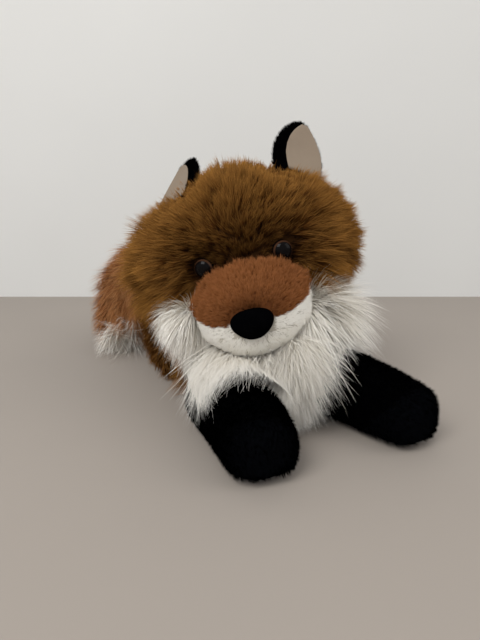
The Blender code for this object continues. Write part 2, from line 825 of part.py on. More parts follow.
def washer_profile():
    inner = SHANK_RADIUS + TRIM_GAP
    top = -WASHER_SETBACK
    bottom = top - WASHER_THICKNESS
    outer = WASHER_RADIUS
    return [(inner, top), (outer, top), (outer, bottom), (inner, bottom), (inner, top)]


def eye_room_profile():
    """The pocket in front, the shank's hole, and the washer's pocket behind, with their gaps."""
    wide = EYE_RADIUS + SEAM_GAP
    hole = SHANK_RADIUS + TRIM_GAP
    seat = WASHER_RADIUS + SEAM_GAP
    washer_top = SEAM_GAP - WASHER_SETBACK
    end = -SHANK_LENGTH - SEAM_GAP
    front = EYE_DOME + EYE_SINK
    pocket = [(0, front), (wide, front), (wide, -SEAM_GAP), (hole, -SEAM_GAP)]
    return [*pocket, (hole, washer_top), (seat, washer_top), (seat, end), (0, end)]


def make_eyes():
    """Both eyes with the washers that lock them. Returns the cutters of their room."""
    eye = turned_mesh("eye_form", eye_profile(), 16)
    washer = turned_mesh("washer_form", washer_profile(), 16)
    room = turned_mesh("eye_room", eye_room_profile(), 16)
    rooms = []
    for side, sign in SIDES.items():
        look = turn_about_z(sign * EYE_TURN) @ Matrix.Rotation(math.pi / 2, 4, "X")
        place = Matrix.Translation((sign * EYE_SPACING / 2, -EYE_SINK, EYE_RAISE)) @ look
        socket = frame_at(f"eye_socket_{side}", place, frames_of["head"])
        solid(f"eye_{side}", eye, socket, "eye_plastic")
        solid(f"eye_washer_{side}", washer, socket, "washer_plastic")
        rooms.append(cutter(f"eye_room_{side}", room, socket))
    return rooms


def ear_sheet(name, border, base, front, sway):
    """A cupped sheet in the ear's outline, drawn in by border, from base up, set forward."""
    half = EAR_WIDTH / 2 - border
    reach = EAR_LENGTH - border - base
    shape = bmesh.new()
    rows = []
    for up, width in EAR_OUTLINE_SHARES:
        height = base + reach * up
        rise = height / EAR_LENGTH
        lean = sway * rise * rise
        row = []
        for across in EAR_ACROSS_SHARES:
            x = half * width * across
            hollow = EAR_CUP * (1 - (2 * x / EAR_WIDTH) ** 2) * math.sin(math.pi * rise / 2)
            row.append(shape.verts.new((x + lean, hollow - front, height)))
        rows.append(row)
    for low, high in zip(rows, rows[1:]):
        for i in range(len(low) - 1):
            shape.faces.new((low[i], low[i + 1], high[i + 1], high[i]))
    mesh = bpy.data.meshes.new(name)
    shape.to_mesh(mesh)
    shape.free()
    mesh.shade_smooth()
    return mesh


def roll_mesh(name, radius, length):
    """A bar along X with rounded ends."""
    steps = [math.pi / 2 * i / 3 for i in range(4)]
    reach = length / 2 - radius
    top = [(radius * math.sin(a), reach + radius * math.cos(a)) for a in steps]
    mesh = turned_mesh(name, [*top, *[(r, -z) for r, z in reversed(top)]], 16)
    mesh.transform(Matrix.Rotation(math.pi / 2, 4, "Y"))
    return mesh


def ear_room_mesh():
    """The wedge that an ear sweeps above its trough as it folds."""
    half = EAR_WIDTH / 2 + SEAM_GAP
    ahead, behind = SOCKET_GAP, EAR_PLUSH + SOCKET_GAP
    fore, back = EAR_FOLD_FORWARD, EAR_FOLD_BACK + EAR_ROOM_SPREAD
    corners = (
        (-ahead, 0),
        (behind, -behind * math.sin(EAR_FOLD_BACK)),
        (behind + EAR_ROOM_REACH * math.sin(back), EAR_ROOM_REACH * math.cos(back)),
        (-ahead - EAR_ROOM_REACH * math.sin(fore), EAR_ROOM_REACH * math.cos(fore)),
    )
    rings = [[Vector((x, y, z)) for y, z in corners] for x in (-half, half)]
    return loft_mesh("ear_room", rings)


def ear_hinge(side, sign, base_side, base_height, lean):
    """The frame of an ear's fold: X along the fold, Z up the ear."""
    place = Matrix.Translation((sign * base_side, EAR_BASE_BACK, base_height))
    place = place @ Matrix.Rotation(sign * EAR_BASE_SLOPE, 4, "Y") @ turn_about_z(sign * EAR_YAW)
    place = place @ Matrix.Rotation(-lean, 4, "X")
    return frame_at(f"ear_hinge_{side}", place, frames_of["head"])


def make_ear(side, hinge, sway, roll):
    """An ear: a plush back with its rolled base, and a suede face on its hollow side."""
    base = EAR_ROLL_RADIUS + SEAM_GAP + EAR_FACE_BORDER
    forward = SUEDE + EAR_FACE_GAP
    back = ear_sheet("ear_back_form", 0, 0, 0, sway)
    plush = solid(f"ear_back_{side}", back, hinge, "black_plush")
    add_smoothing(plush)
    add_thickness(plush, EAR_PLUSH)
    add_facets(plush)
    add_boolean(plush, "UNION", cutter(f"ear_root_{side}", roll, hinge))
    face = ear_sheet("ear_face_form", EAR_FACE_BORDER, base, forward, sway)
    suede = solid(f"ear_face_{side}", face, hinge, "suede")
    add_smoothing(suede)
    add_thickness(suede, SUEDE)


def make_ears():
    """Both ears. Returns the cutters of their bases' room in the head."""
    rows = (
        ("left", EAR_BASE_SIDE_LEFT, EAR_BASE_HEIGHT_LEFT, EAR_LEAN_LEFT, EAR_TIP_SWAY_LEFT),
        ("right", EAR_BASE_SIDE_RIGHT, EAR_BASE_HEIGHT_RIGHT, EAR_LEAN_RIGHT, EAR_TIP_SWAY_RIGHT),
    )
    roll = roll_mesh("ear_roll", EAR_ROLL_RADIUS, EAR_ROLL_LENGTH)
    trough_length = EAR_ROLL_LENGTH + 2 * SEAM_GAP
    trough = roll_mesh("ear_trough", EAR_ROLL_RADIUS + SEAM_GAP, trough_length)
    wedge = ear_room_mesh()
    rooms = []
    for side, base_side, base_height, lean, sway in rows:
        sign = SIDES[side]
        hinge = ear_hinge(side, sign, base_side, base_height, lean)
        make_ear(side, hinge, -sign * sway, roll)
        rooms.append(cutter(f"ear_trough_{side}", trough, hinge))
        rooms.append(cutter(f"ear_room_{side}", wedge, hinge))
    return rooms


def make_leg(kind, side, seam, rows):
    """A leg's cover, parted at a seam from its paw's end, and its stuffing."""
    frame = frames_of[f"{kind}_{side}"]
    halves = split_planes(f"{kind}_seam_{side}", frame, seam)
    for (name, colour), half in zip(rows, halves):
        panel = cover(f"{name}_{side}", kind, frame, colour)
        keep(panel, half)
        cut(panel, floor)
    stuffing(f"{kind}_stuffing_{side}", kind, frame)


def make_legs():
    """Front legs with a sole panel under the paw, and folded hind legs with a black paw."""
    sole = Matrix.Translation((0, -SOLE_SEAM_REACH, SOLE_SEAM_HEIGHT))
    sole = sole @ Matrix.Rotation(math.pi / 2 + SOLE_SEAM_LEAN, 4, "X")
    paw = Matrix.Translation((0, -HIND_PAW_REACH, 0)) @ Matrix.Rotation(math.pi / 2, 4, "X")
    front_rows = (("front_paw_sole", "black_plush"), ("front_leg_cover", "black_plush"))
    hind_rows = (("hind_paw", "black_plush"), ("hind_leg_cover", "brown_fur"))
    for side in SIDES:
        make_leg("front_leg", side, sole, front_rows)
        make_leg("hind_leg", side, paw, hind_rows)


def make_tail():
    """The long-haired tail, its white tip, and its stuffing."""
    frame = frames_of["tail"]
    path = [Vector(row[:3]) for row in tail_path(0)]
    start = int(TAIL_TIP_SHARE * (len(path) - 1))
    along = path[start + 1] - path[start - 1]
    along = along.to_track_quat("Z", "Y").to_matrix().to_4x4()
    seam = Matrix.Translation((path[start] + path[start + 1]) / 2) @ along
    tip_side, root_side = split_planes("tail_seam", frame, seam)
    for name, colour, half in (
        ("tail_cover", "tail_fur", root_side),
        ("tail_tip", "white_fur", tip_side),
    ):
        hair = cover(name, "tail", frame, colour)
        keep(hair, half)
        cut(hair, floor)
    stuffing("tail_stuffing", "tail", frame)


clear_scene()
parts = new_collection("plush_fox")
cutters = new_collection("cutters")
frames = new_collection("frames")
materials = make_materials()
forms = make_forms()
frames_of = make_frames()
floor = half_space("floor", None, Matrix.Rotation(math.pi, 4, "X"))
make_body()
make_neck()
make_head((*make_eyes(), *make_ears()))
make_muzzle()
make_legs()
make_tail()
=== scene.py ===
"""A plush fox that lies on its belly: padded forms, fur, ears, eyes and nose.

Lengths are metres, +Z is up, the fox faces -Y and its left side is at +X. Each coat is
made of tapered flat strands that grow from a padded form in small tufts.
"""

import logging
import math
from dataclasses import dataclass, field, replace
from enum import Enum
from typing import Callable, Sequence

import bpy
import numpy as np
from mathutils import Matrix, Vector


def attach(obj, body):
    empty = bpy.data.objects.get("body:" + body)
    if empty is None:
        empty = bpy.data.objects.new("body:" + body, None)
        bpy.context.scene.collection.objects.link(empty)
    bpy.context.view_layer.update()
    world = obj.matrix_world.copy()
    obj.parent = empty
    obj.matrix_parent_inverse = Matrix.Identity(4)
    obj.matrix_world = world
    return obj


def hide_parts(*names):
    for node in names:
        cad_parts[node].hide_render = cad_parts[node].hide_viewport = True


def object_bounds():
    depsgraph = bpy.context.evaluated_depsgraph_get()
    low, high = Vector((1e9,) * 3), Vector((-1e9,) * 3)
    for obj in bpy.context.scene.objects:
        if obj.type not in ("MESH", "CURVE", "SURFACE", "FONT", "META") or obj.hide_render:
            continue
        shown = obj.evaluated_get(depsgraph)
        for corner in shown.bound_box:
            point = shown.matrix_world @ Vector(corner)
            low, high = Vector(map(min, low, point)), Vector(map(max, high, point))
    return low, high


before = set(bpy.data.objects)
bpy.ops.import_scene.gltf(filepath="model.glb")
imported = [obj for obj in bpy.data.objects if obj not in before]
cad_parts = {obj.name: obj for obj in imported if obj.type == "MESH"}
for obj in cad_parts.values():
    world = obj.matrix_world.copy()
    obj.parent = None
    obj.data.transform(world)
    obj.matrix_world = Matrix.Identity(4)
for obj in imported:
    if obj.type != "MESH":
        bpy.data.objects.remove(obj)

CAD_BOX = [list(corner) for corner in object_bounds()]
LOG = logging.getLogger("plush_fox")
Array = np.ndarray
Colour = tuple[float, float, float]
Point = tuple[float, float, float]
FLOOR_CLEARANCE = 0.0003
ROOT_DEPTH = 0.0006
HEAD_TURN = -23.5
REACH_SHARE = 0.03
REACH_PAST = 0.0092
MOST_TRIANGLES = 190_000


class Slot(Enum):
    """The record's material slots, one kept with each finish."""

    BROWN = "brown_fur"
    WHITE = "white_fur"
    RUST = "rust_plush"
    TAIL = "tail_fur"
    BLACK = "black_plush"
    SUEDE = "suede"
    EYE = "eye_plastic"


class Side(Enum):
    """The fox's own sides, as the sign of X."""

    LEFT = 1
    RIGHT = -1

    @property
    def word(self) -> str:
        """The side's name in lower case."""
        return self.name.lower()


# Arrays of points and directions


def unit(vectors: Array) -> Array:
    """Vectors scaled to length one.

    Args:
        vectors: an array whose last axis is X, Y and Z.

    Returns:
        The same directions with unit length.
    """
    return vectors / np.maximum(np.linalg.norm(vectors, axis=-1, keepdims=True), 1e-12)


def stacked(*columns: Array | float) -> Array:
    """Columns, or one number for every row, side by side on the last axis."""
    return np.stack(np.broadcast_arrays(*columns), -1)


def smooth_step(values: Array, low: float, high: float) -> Array:
    """Zero below low, one above high, and 3t^2 - 2t^3 between them.

    Args:
        values: where the step is read.
        low: where it leaves zero.
        high: where it reaches one.

    Returns:
        The step's values.
    """
    t = np.clip((values - low) / (high - low), 0, 1)
    return t * t * (3 - 2 * t)


def turn(axis: str, degrees: float) -> Array:
    """The 3 x 3 matrix of a right-handed turn about X, Y or Z.

    Args:
        axis: "X", "Y" or "Z".
        degrees: the angle.

    Returns:
        The matrix, to be multiplied from the left.
    """
    c, s = math.cos(math.radians(degrees)), math.sin(math.radians(degrees))
    i = "XYZ".index(axis)
    j, k = (i + 1) % 3, (i + 2) % 3
    matrix = np.eye(3)
    matrix[j, j], matrix[j, k], matrix[k, j], matrix[k, k] = c, -s, s, c
    return matrix


@dataclass(frozen=True)
class Place:
    """A frame in the room: its origin, and its axes as the columns of a matrix."""

    origin: Array
    axes: Array

    def local(self, points: Array) -> Array:
        """Points of the room in this frame."""
        return (points - self.origin) @ self.axes

    def world(self, points: Array) -> Array:
        """Points of this frame in the room."""
        return points @ self.axes.T + self.origin

    def aim(self, directions: Array) -> Array:
        """Directions of this frame in the room."""
        return directions @ self.axes.T


def head_place() -> Place:
    """The head's frame: turned, nodded and tilted about the neck, 7 mm above its pivot."""
    axes = turn("Z", HEAD_TURN) @ turn("X", 6.5) @ turn("Y", -13.5)
    return Place(np.array([0, 0, 0.091]) + axes @ np.array([0, 0, 0.007]), axes)


HEAD = head_place()


# Meshes from arrays


def mesh_object(name: str, points: Array, faces: Array) -> bpy.types.Object:
    """An object at the origin from an array of points and one of faces.

    Args:
        name: the piece's name.
        points: n x 3 places in the room.
        faces: m x 3 or m x 4 point numbers, counted round each outer side.

    Returns:
        The new object, shaded smooth.
    """
    mesh = bpy.data.meshes.new(name)
    corners = faces.shape[1]
    mesh.vertices.add(len(points))
    mesh.vertices.foreach_set("co", np.ascontiguousarray(points, np.float32).ravel())
    mesh.loops.add(faces.size)
    mesh.loops.foreach_set("vertex_index", np.ascontiguousarray(faces, np.int32).ravel())
    mesh.polygons.add(len(faces))
    mesh.polygons.foreach_set("loop_start", np.arange(0, faces.size, corners, dtype=np.int32))
    mesh.update(calc_edges=True)
    mesh.validate()
    mesh.shade_smooth()
    piece = bpy.data.objects.new(name, mesh)
    bpy.context.scene.collection.objects.link(piece)
    return piece


def mesh_arrays(mesh: bpy.types.Mesh) -> tuple[Array, Array]:
    """Reads a mesh.

    Args:
        mesh: the mesh.

    Returns:
        Its points, and the point numbers of its triangles.
    """
    points = np.empty(len(mesh.vertices) * 3, np.float32)
    mesh.vertices.foreach_get("co", points)
    mesh.calc_loop_triangles()
    triangles = np.empty(len(mesh.loop_triangles) * 3, np.int32)
    mesh.loop_triangles.foreach_get("vertices", triangles)
    return points.reshape(-1, 3).astype(float), triangles.reshape(-1, 3)


def point_normals(points: Array, triangles: Array) -> Array:
    """The mean normal at each point, weighted by the area of the triangles round it.

    Args:
        points: n x 3 places.
        triangles: m x 3 point numbers.

    Returns:
        n x 3 unit normals.
    """
    a, b, c = (points[triangles[:, i]] for i in range(3))
    across = np.cross(b - a, c - a)
    normals = np.zeros_like(points)
    for i in range(3):
        np.add.at(normals, triangles[:, i], across)
    return unit(normals)


def closed_rings(name: str, rings: Array) -> bpy.types.Object:
    """A closed piece from rings of points, each end closed onto a point in its middle.

    Args:
        name: the piece's name.
        rings: rows x points x 3 places in the room, counted round +Z as the rows rise.

    Returns:
        The new object.
    """
    rows, around = rings.shape[:2]
    i, j = np.meshgrid(np.arange(rows - 1), np.arange(around), indexing="ij")
    k = (j + 1) % around
    a, b, c, d = i * around + j, i * around + k, (i + 1) * around + k, (i + 1) * around + j
    sides = np.concatenate([np.stack([a, b, c], -1), np.stack([a, c, d], -1)]).reshape(-1, 3)
    j, k, low = j[0], k[0], (rows - 1) * around
    first, last = np.full(around, rows * around), np.full(around, rows * around + 1)
    ends = np.concatenate([np.stack([first, k, j], -1), np.stack([last, low + j, low + k], -1)])
    points = np.vstack([rings.reshape(-1, 3), rings[0].mean(0), rings[-1].mean(0)])
    return mesh_object(name, points, np.concatenate([sides, ends]))


def paint(piece: bpy.types.Object, name: str, values: Array) -> None:
    """Writes a colour attribute on a piece's points.

    Args:
        piece: the object.
        name: the attribute's name.
        values: n x 3 numbers.
    """
    layer = piece.data.color_attributes.new(name, "FLOAT_COLOR", "POINT")
    full = np.ones((len(values), 4), np.float32)
    full[:, :3] = values
    layer.data.foreach_set("color", full.ravel())


# Shader node groups and finishes


class Sockets:
    """Short ways to add nodes to a tree and to link them."""

    def __init__(self, tree: bpy.types.NodeTree) -> None:
        """Keeps the tree that nodes are added to."""
        self.tree = tree

    def add(self, kind: str, **settings: object) -> bpy.types.Node:
        """A new node of a kind, with its properties set."""
        node = self.tree.nodes.new(kind)
        for key, value in settings.items():
            setattr(node, key, value)
        return node

    def link(self, source: bpy.types.NodeSocket, target: bpy.types.NodeSocket) -> None:
        """A link from an output to an input."""
        self.tree.links.new(source, target)

    def math(self, operation: str, a: object, b: object, clamp: bool = False) -> bpy.types.NodeSocket:
        """The output of a math node. a and b are sockets or numbers."""
        node = self.add("ShaderNodeMath", operation=operation, use_clamp=clamp)
        for socket, value in zip(node.inputs, (a, b)):
            if isinstance(value, bpy.types.NodeSocket):
                self.link(value, socket)
            else:
                socket.default_value = value
        return node.outputs[0]

    def mix(self, share: object, a: object, b: object, blend: str = "MIX") -> bpy.types.NodeSocket:
        """The colour output of a mix of a and b, which are sockets or colours."""
        node = self.add("ShaderNodeMix", data_type="RGBA", blend_type=blend)
        for socket, value in zip((node.inputs[0], node.inputs[6], node.inputs[7]), (share, a, b)):
            if isinstance(value, bpy.types.NodeSocket):
                self.link(value, socket)
            elif isinstance(value, tuple):
                socket.default_value = (*value, 1)
            else:
                socket.default_value = value
        return node.outputs[2]


def new_group(
    name: str, inputs: dict[str, str], outputs: dict[str, str]
) -> tuple[Sockets, bpy.types.Node, bpy.types.Node]:
    """An empty shader node group with named sockets.

    Args:
        name: the group's name.
        inputs: socket names and kinds, such as "Color" or "Float".
        outputs: the same for what it puts out.

    Returns:
        The group's node helper, its input node and its output node.
    """
    tree = bpy.data.node_groups.new(name, "ShaderNodeTree")
    for direction, sockets in (("INPUT", inputs), ("OUTPUT", outputs)):
        for socket, kind in sockets.items():
            tree.interface.new_socket(socket, in_out=direction, socket_type=f"NodeSocket{kind}")
    helper = Sockets(tree)
    return helper, helper.add("NodeGroupInput"), helper.add("NodeGroupOutput")


def strand_tone_group() -> bpy.types.NodeTree:
    """The colour along a strand: root to middle to tip, darker or paler from strand to strand.

    The root colour is darker than the middle's: partly the fur's own darker base, partly painted
    shade where the strands shade one another near the backing.

    The strand attribute holds a random tone in red, the way along in green, and in blue how
    far the strand is from the coat's own colour towards its dark one, which round the eyes,
    over the bridge and at the back of the muzzle is painted shade.

    Returns:
        The node group.
    """
    colours = {"Root": "Color", "Middle": "Color", "Tip": "Color", "Dark": "Color", "Spread": "Float"}
    net, inside, outside = new_group("strand_tone", colours, {"Color": "Color"})
    strand = net.add("ShaderNodeSeparateColor")
    attribute = net.add("ShaderNodeAttribute", attribute_name="strand")
    net.link(attribute.outputs["Color"], strand.inputs[0])
    tone, along, shade = strand.outputs
    lower = net.math("MULTIPLY", along, 2.2, clamp=True)
    upper = net.math("MULTIPLY", net.math("SUBTRACT", along, 0.45), 1.9, clamp=True)
    # Painted shade at the roots: the colour rises from the darker root colour to the middle's, partly the fur's own
    # darker base.
    colour = net.mix(lower, inside.outputs["Root"], inside.outputs["Middle"])
    colour = net.mix(upper, colour, inside.outputs["Tip"])
    ticked = net.math("MULTIPLY", net.math("GREATER_THAN", tone, 0.74), upper)
    colour = net.mix(net.math("MULTIPLY", ticked, 0.7), colour, inside.outputs["Root"])
    colour = net.mix(shade, colour, inside.outputs["Dark"])
    around = net.math("MULTIPLY", net.math("SUBTRACT", tone, 0.45), inside.outputs["Spread"])
    scale = net.math("ADD", around, 1.0)
    grey = net.add("ShaderNodeCombineColor")
    for socket in grey.inputs[:3]:
        net.link(scale, socket)
    net.link(net.mix(1.0, colour, grey.outputs[0], "MULTIPLY"), outside.inputs["Color"])
    return net.tree


def fine_grain_group() -> bpy.types.NodeTree:
    """A fine uneven grain for cloth backings, suede and velvet: a mask and a height.

    Returns:
        The node group.
    """
    net, inside, outside = new_group("fine_grain", {"Scale": "Float"}, {"Mask": "Float", "Height": "Float"})
    place = net.add("ShaderNodeTexCoord")
    fine = net.add("ShaderNodeTexNoise")
    broad = net.add("ShaderNodeTexNoise")
    fine.inputs["Detail"].default_value = 3
    for node, share in ((fine, 1.0), (broad, 0.12)):
        net.link(place.outputs["Object"], node.inputs["Vector"])
        net.link(net.math("MULTIPLY", inside.outputs["Scale"], share), node.inputs["Scale"])
    net.link(broad.outputs[0], outside.inputs["Mask"])
    net.link(fine.outputs[0], outside.inputs["Height"])
    return net.tree


GROUPS: dict[str, bpy.types.NodeTree] = {}


def group_node(net: Sockets, name: str) -> bpy.types.Node:
    """A node in a material's tree that holds one of the shared groups.

    Args:
        net: the material's node helper.
        name: the group's name.

    Returns:
        The new node.
    """
    makers = {"strand_tone": strand_tone_group, "fine_grain": fine_grain_group}
    if name not in GROUPS:
        GROUPS[name] = makers[name]()
    node = net.add("ShaderNodeGroup")
    node.node_tree = GROUPS[name]
    return node


def new_material(
    name: str, roughness: float, specular: float = 0.5
) -> tuple[bpy.types.Material, Sockets, bpy.types.Node]:
    """A material with a Principled shader.

    Args:
        name: its name.
        roughness: how matt it is.
        specular: how much it mirrors, 0.5 being plastic.

    Returns:
        The material, its node helper and its shader.
    """
    material = bpy.data.materials.new(name)
    material.use_nodes = True
    shader = material.node_tree.nodes["Principled BSDF"]
    shader.inputs["Roughness"].default_value = roughness
    shader.inputs["Specular IOR Level"].default_value = specular
    return material, Sockets(material.node_tree), shader


@dataclass(frozen=True)
class Finish:
    """A finish whose material is made when a piece first asks for it."""

    name: str
    slot: Slot

    def material(self) -> bpy.types.Material:
        """The finish's material, made once."""
        return bpy.data.materials.get(self.name) or self.make()

    def make(self) -> bpy.types.Material:
        """Each kind of finish builds its own shader nodes."""
        raise NotImplementedError


@dataclass(frozen=True)
class FurFinish(Finish):
    """The colours of a coat's strands from root to tip, and of its dark places. The root's colour is partly the fur's
    own darker base and partly painted shade near the backing; on the face the dark places are painted shade.
    """

    root: Colour
    middle: Colour
    tip: Colour
    dark: Colour
    spread: float = 0.7
    roughness: float = 0.62
    specular: float = 0.12

    def make(self) -> bpy.types.Material:
        """Strands that change colour along their length.

        Returns:
            The new material.
        """
        material, net, shader = new_material(self.name, self.roughness, self.specular)
        tone = group_node(net, "strand_tone")
        colours = (self.root, self.middle, self.tip, self.dark)
        for socket, colour in zip(("Root", "Middle", "Tip", "Dark"), colours):
            tone.inputs[socket].default_value = (*colour, 1)
        tone.inputs["Spread"].default_value = self.spread
        net.link(tone.outputs["Color"], shader.inputs["Base Color"])
        return material


@dataclass(frozen=True)
class ClothFinish(Finish):
    """A cloth without long pile. One with no colour of its own takes the coat attribute's."""

    colour: Colour | None
    worn: Colour
    scale: float = 900
    bump: float = 0.25
    roughness: float = 0.9
    sheen: float = 0.2
    specular: float = 0.12

    def make(self) -> bpy.types.Material:
        """An uneven colour and a fine bump.

        Returns:
            The new material.
        """
        material, net, shader = new_material(self.name, self.roughness, self.specular)
        shader.inputs["Sheen Weight"].default_value = self.sheen
        grain = group_node(net, "fine_grain")
        grain.inputs["Scale"].default_value = self.scale
        base, blend = self.colour, "MIX"
        if base is None:
            base, blend = net.add("ShaderNodeAttribute", attribute_name="coat").outputs["Color"], "MULTIPLY"
        net.link(net.mix(grain.outputs["Mask"], base, self.worn, blend), shader.inputs["Base Color"])
        bump = net.add("ShaderNodeBump")
        bump.inputs["Strength"].default_value = self.bump
        bump.inputs["Distance"].default_value = 0.0004
        net.link(grain.outputs["Height"], bump.inputs["Height"])
        net.link(bump.outputs[0], shader.inputs["Normal"])
        return material


@dataclass(frozen=True)
class EyeFinish(Finish):
    """A glossy button eye: black in the middle, with a brown ring near its rim."""

    name: str = "button_eye"
    slot: Slot = Slot.EYE
    pupil: Colour = (0.004, 0.003, 0.003)
    ring: Colour = (0.055, 0.024, 0.012)
    ring_from: float = 0.82
    edge_from: float = 0.96

    def make(self) -> bpy.types.Material:
        """The ring follows the rim attribute, which is one at the eye's edge.

        Returns:
            The new material.
        """
        material, net, shader = new_material(self.name, 0.06, 0.08)
        out = net.add("ShaderNodeSeparateColor")
        net.link(net.add("ShaderNodeAttribute", attribute_name="rim").outputs["Color"], out.inputs[0])
        colour: object = self.pupil
        for start, slope, beyond in ((self.ring_from, 14.0, self.ring), (self.edge_from, 40.0, self.pupil)):
            past = net.math("MULTIPLY", net.math("SUBTRACT", out.outputs[0], start), slope, clamp=True)
            colour = net.mix(past, colour, beyond)
        net.link(colour, shader.inputs["Base Color"])
        return material


@dataclass(frozen=True)
class StageFinish:
    """A plain matt surface of the studio, mottled a little."""

    name: str
    colour: Colour
    worn: Colour
    one_sided: bool = False
    roughness: float = 0.7
    scale: float = 60

    def material(self) -> bpy.types.Material:
        """The surface's colours, clear from behind where it is one-sided.

        Returns:
            The new material.
        """
        material, net, shader = new_material(self.name, self.roughness)
        grain = group_node(net, "fine_grain")
        grain.inputs["Scale"].default_value = self.scale
        net.link(net.mix(grain.outputs["Mask"], self.colour, self.worn), shader.inputs["Base Color"])
        if self.one_sided:
            choice = net.add("ShaderNodeMixShader")
            net.link(net.add("ShaderNodeNewGeometry").outputs["Backfacing"], choice.inputs[0])
            net.link(shader.outputs[0], choice.inputs[1])
            net.link(net.add("ShaderNodeBsdfTransparent").outputs[0], choice.inputs[2])
            net.link(choice.outputs[0], material.node_tree.nodes["Material Output"].inputs["Surface"])
        return material


# Each coat's first colour, at its roots, is partly the fur's own darker base and partly painted shade near the
# backing.
CROWN_FUR = FurFinish(
    "crown_fur", Slot.BROWN, (0.006, 0.0025, 0.0008), (0.088, 0.032, 0.0060), (0.34, 0.158, 0.036),
    # The crown's dark colour is painted shade round the eyes and over the bridge.
    (0.014, 0.0055, 0.0020), spread=1.3, specular=0.03,
)
BACK_FUR = FurFinish(
    "back_fur", Slot.BROWN, (0.012, 0.0045, 0.0012), (0.115, 0.045, 0.010), (0.32, 0.15, 0.040),
    (0.016, 0.006, 0.0025), spread=1.0, specular=0.03,
)
WHITE_FUR = FurFinish(
    "white_long_fur", Slot.WHITE, (0.80, 0.75, 0.66), (0.92, 0.88, 0.80), (0.95, 0.92, 0.86),
    (0.55, 0.50, 0.42), spread=0.10, roughness=0.6, specular=0.1,
)
CHIN_PILE = FurFinish(
    "chin_pile", Slot.WHITE, (0.82, 0.78, 0.70), (0.93, 0.90, 0.83), (0.95, 0.93, 0.87),
    (0.60, 0.54, 0.46), spread=0.06, roughness=0.8, specular=0.1,
)
RUST_PILE = FurFinish(
    "rust_pile", Slot.RUST, (0.070, 0.022, 0.007), (0.160, 0.054, 0.016), (0.28, 0.108, 0.040),
    # The rust pile's dark colour: darker round the nose, and painted shade at the back of the muzzle.
    (0.030, 0.010, 0.004), spread=0.8, roughness=0.8, specular=0.0,
)
TAIL_HAIR = FurFinish(
    "tail_hair", Slot.TAIL, (0.10, 0.027, 0.006), (0.30, 0.095, 0.024), (0.60, 0.30, 0.12),
    (0.07, 0.022, 0.007), spread=0.8, specular=0.1,
)
BLACK_PILE = FurFinish(
    "black_pile", Slot.BLACK, (0.0004, 0.0004, 0.0005), (0.0007, 0.0007, 0.0009), (0.0012, 0.0012, 0.0015),
    (0.0035, 0.0040, 0.0055), spread=0.4, roughness=0.95, specular=0.0,
)
BACKING = ClothFinish("cloth_backing", Slot.BROWN, None, (0.75, 0.75, 0.75), sheen=0.0, specular=0.0)
SUEDE = ClothFinish("beige_suede", Slot.SUEDE, (0.30, 0.235, 0.172), (0.22, 0.168, 0.122), scale=500, bump=0.3)
VELVET = ClothFinish(
    "black_velvet", Slot.BLACK, (0.0006, 0.0006, 0.0008), (0.0016, 0.0016, 0.002), scale=1500, sheen=0.0, specular=0.0
)
WASHER = ClothFinish(
    "moulded_washer", Slot.EYE, (0.75, 0.75, 0.72), (0.68, 0.68, 0.65), scale=300, bump=0.1, roughness=0.5, sheen=0.0
)
BROWN_BACKING = (0.05, 0.022, 0.008)
WHITE_BACKING = (0.75, 0.71, 0.64)


def declare(
    piece: bpy.types.Object,
    finish: Finish,
    body: str,
    nodes: Sequence[str] = (),
) -> None:
    """Gives a piece its material, hides the solids that it stands for, sets it to ride on its body and logs its faces.

    Args:
        piece: the object.
        finish: its material.
        body: the body that it moves with.
        nodes: the CAD solids that it stands for.
    """
    piece.data.materials.append(finish.material())
    if nodes:
        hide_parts(*nodes)
    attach(piece, body)
    LOG.info("%s: %d faces", piece.name, len(piece.data.polygons))


# Padded forms


def two_tone(past: Array, soft: float) -> Array:
    """A backing's colour: white before a seam, brown past it, with a soft step between.

    Args:
        past: how far each point lies past the seam.
        soft: half the width of the step.

    Returns:
        n x 3 colours.
    """
    share = smooth_step(past, -soft, soft)[:, None]
    return np.array(WHITE_BACKING) * (1 - share) + np.array(BROWN_BACKING) * share


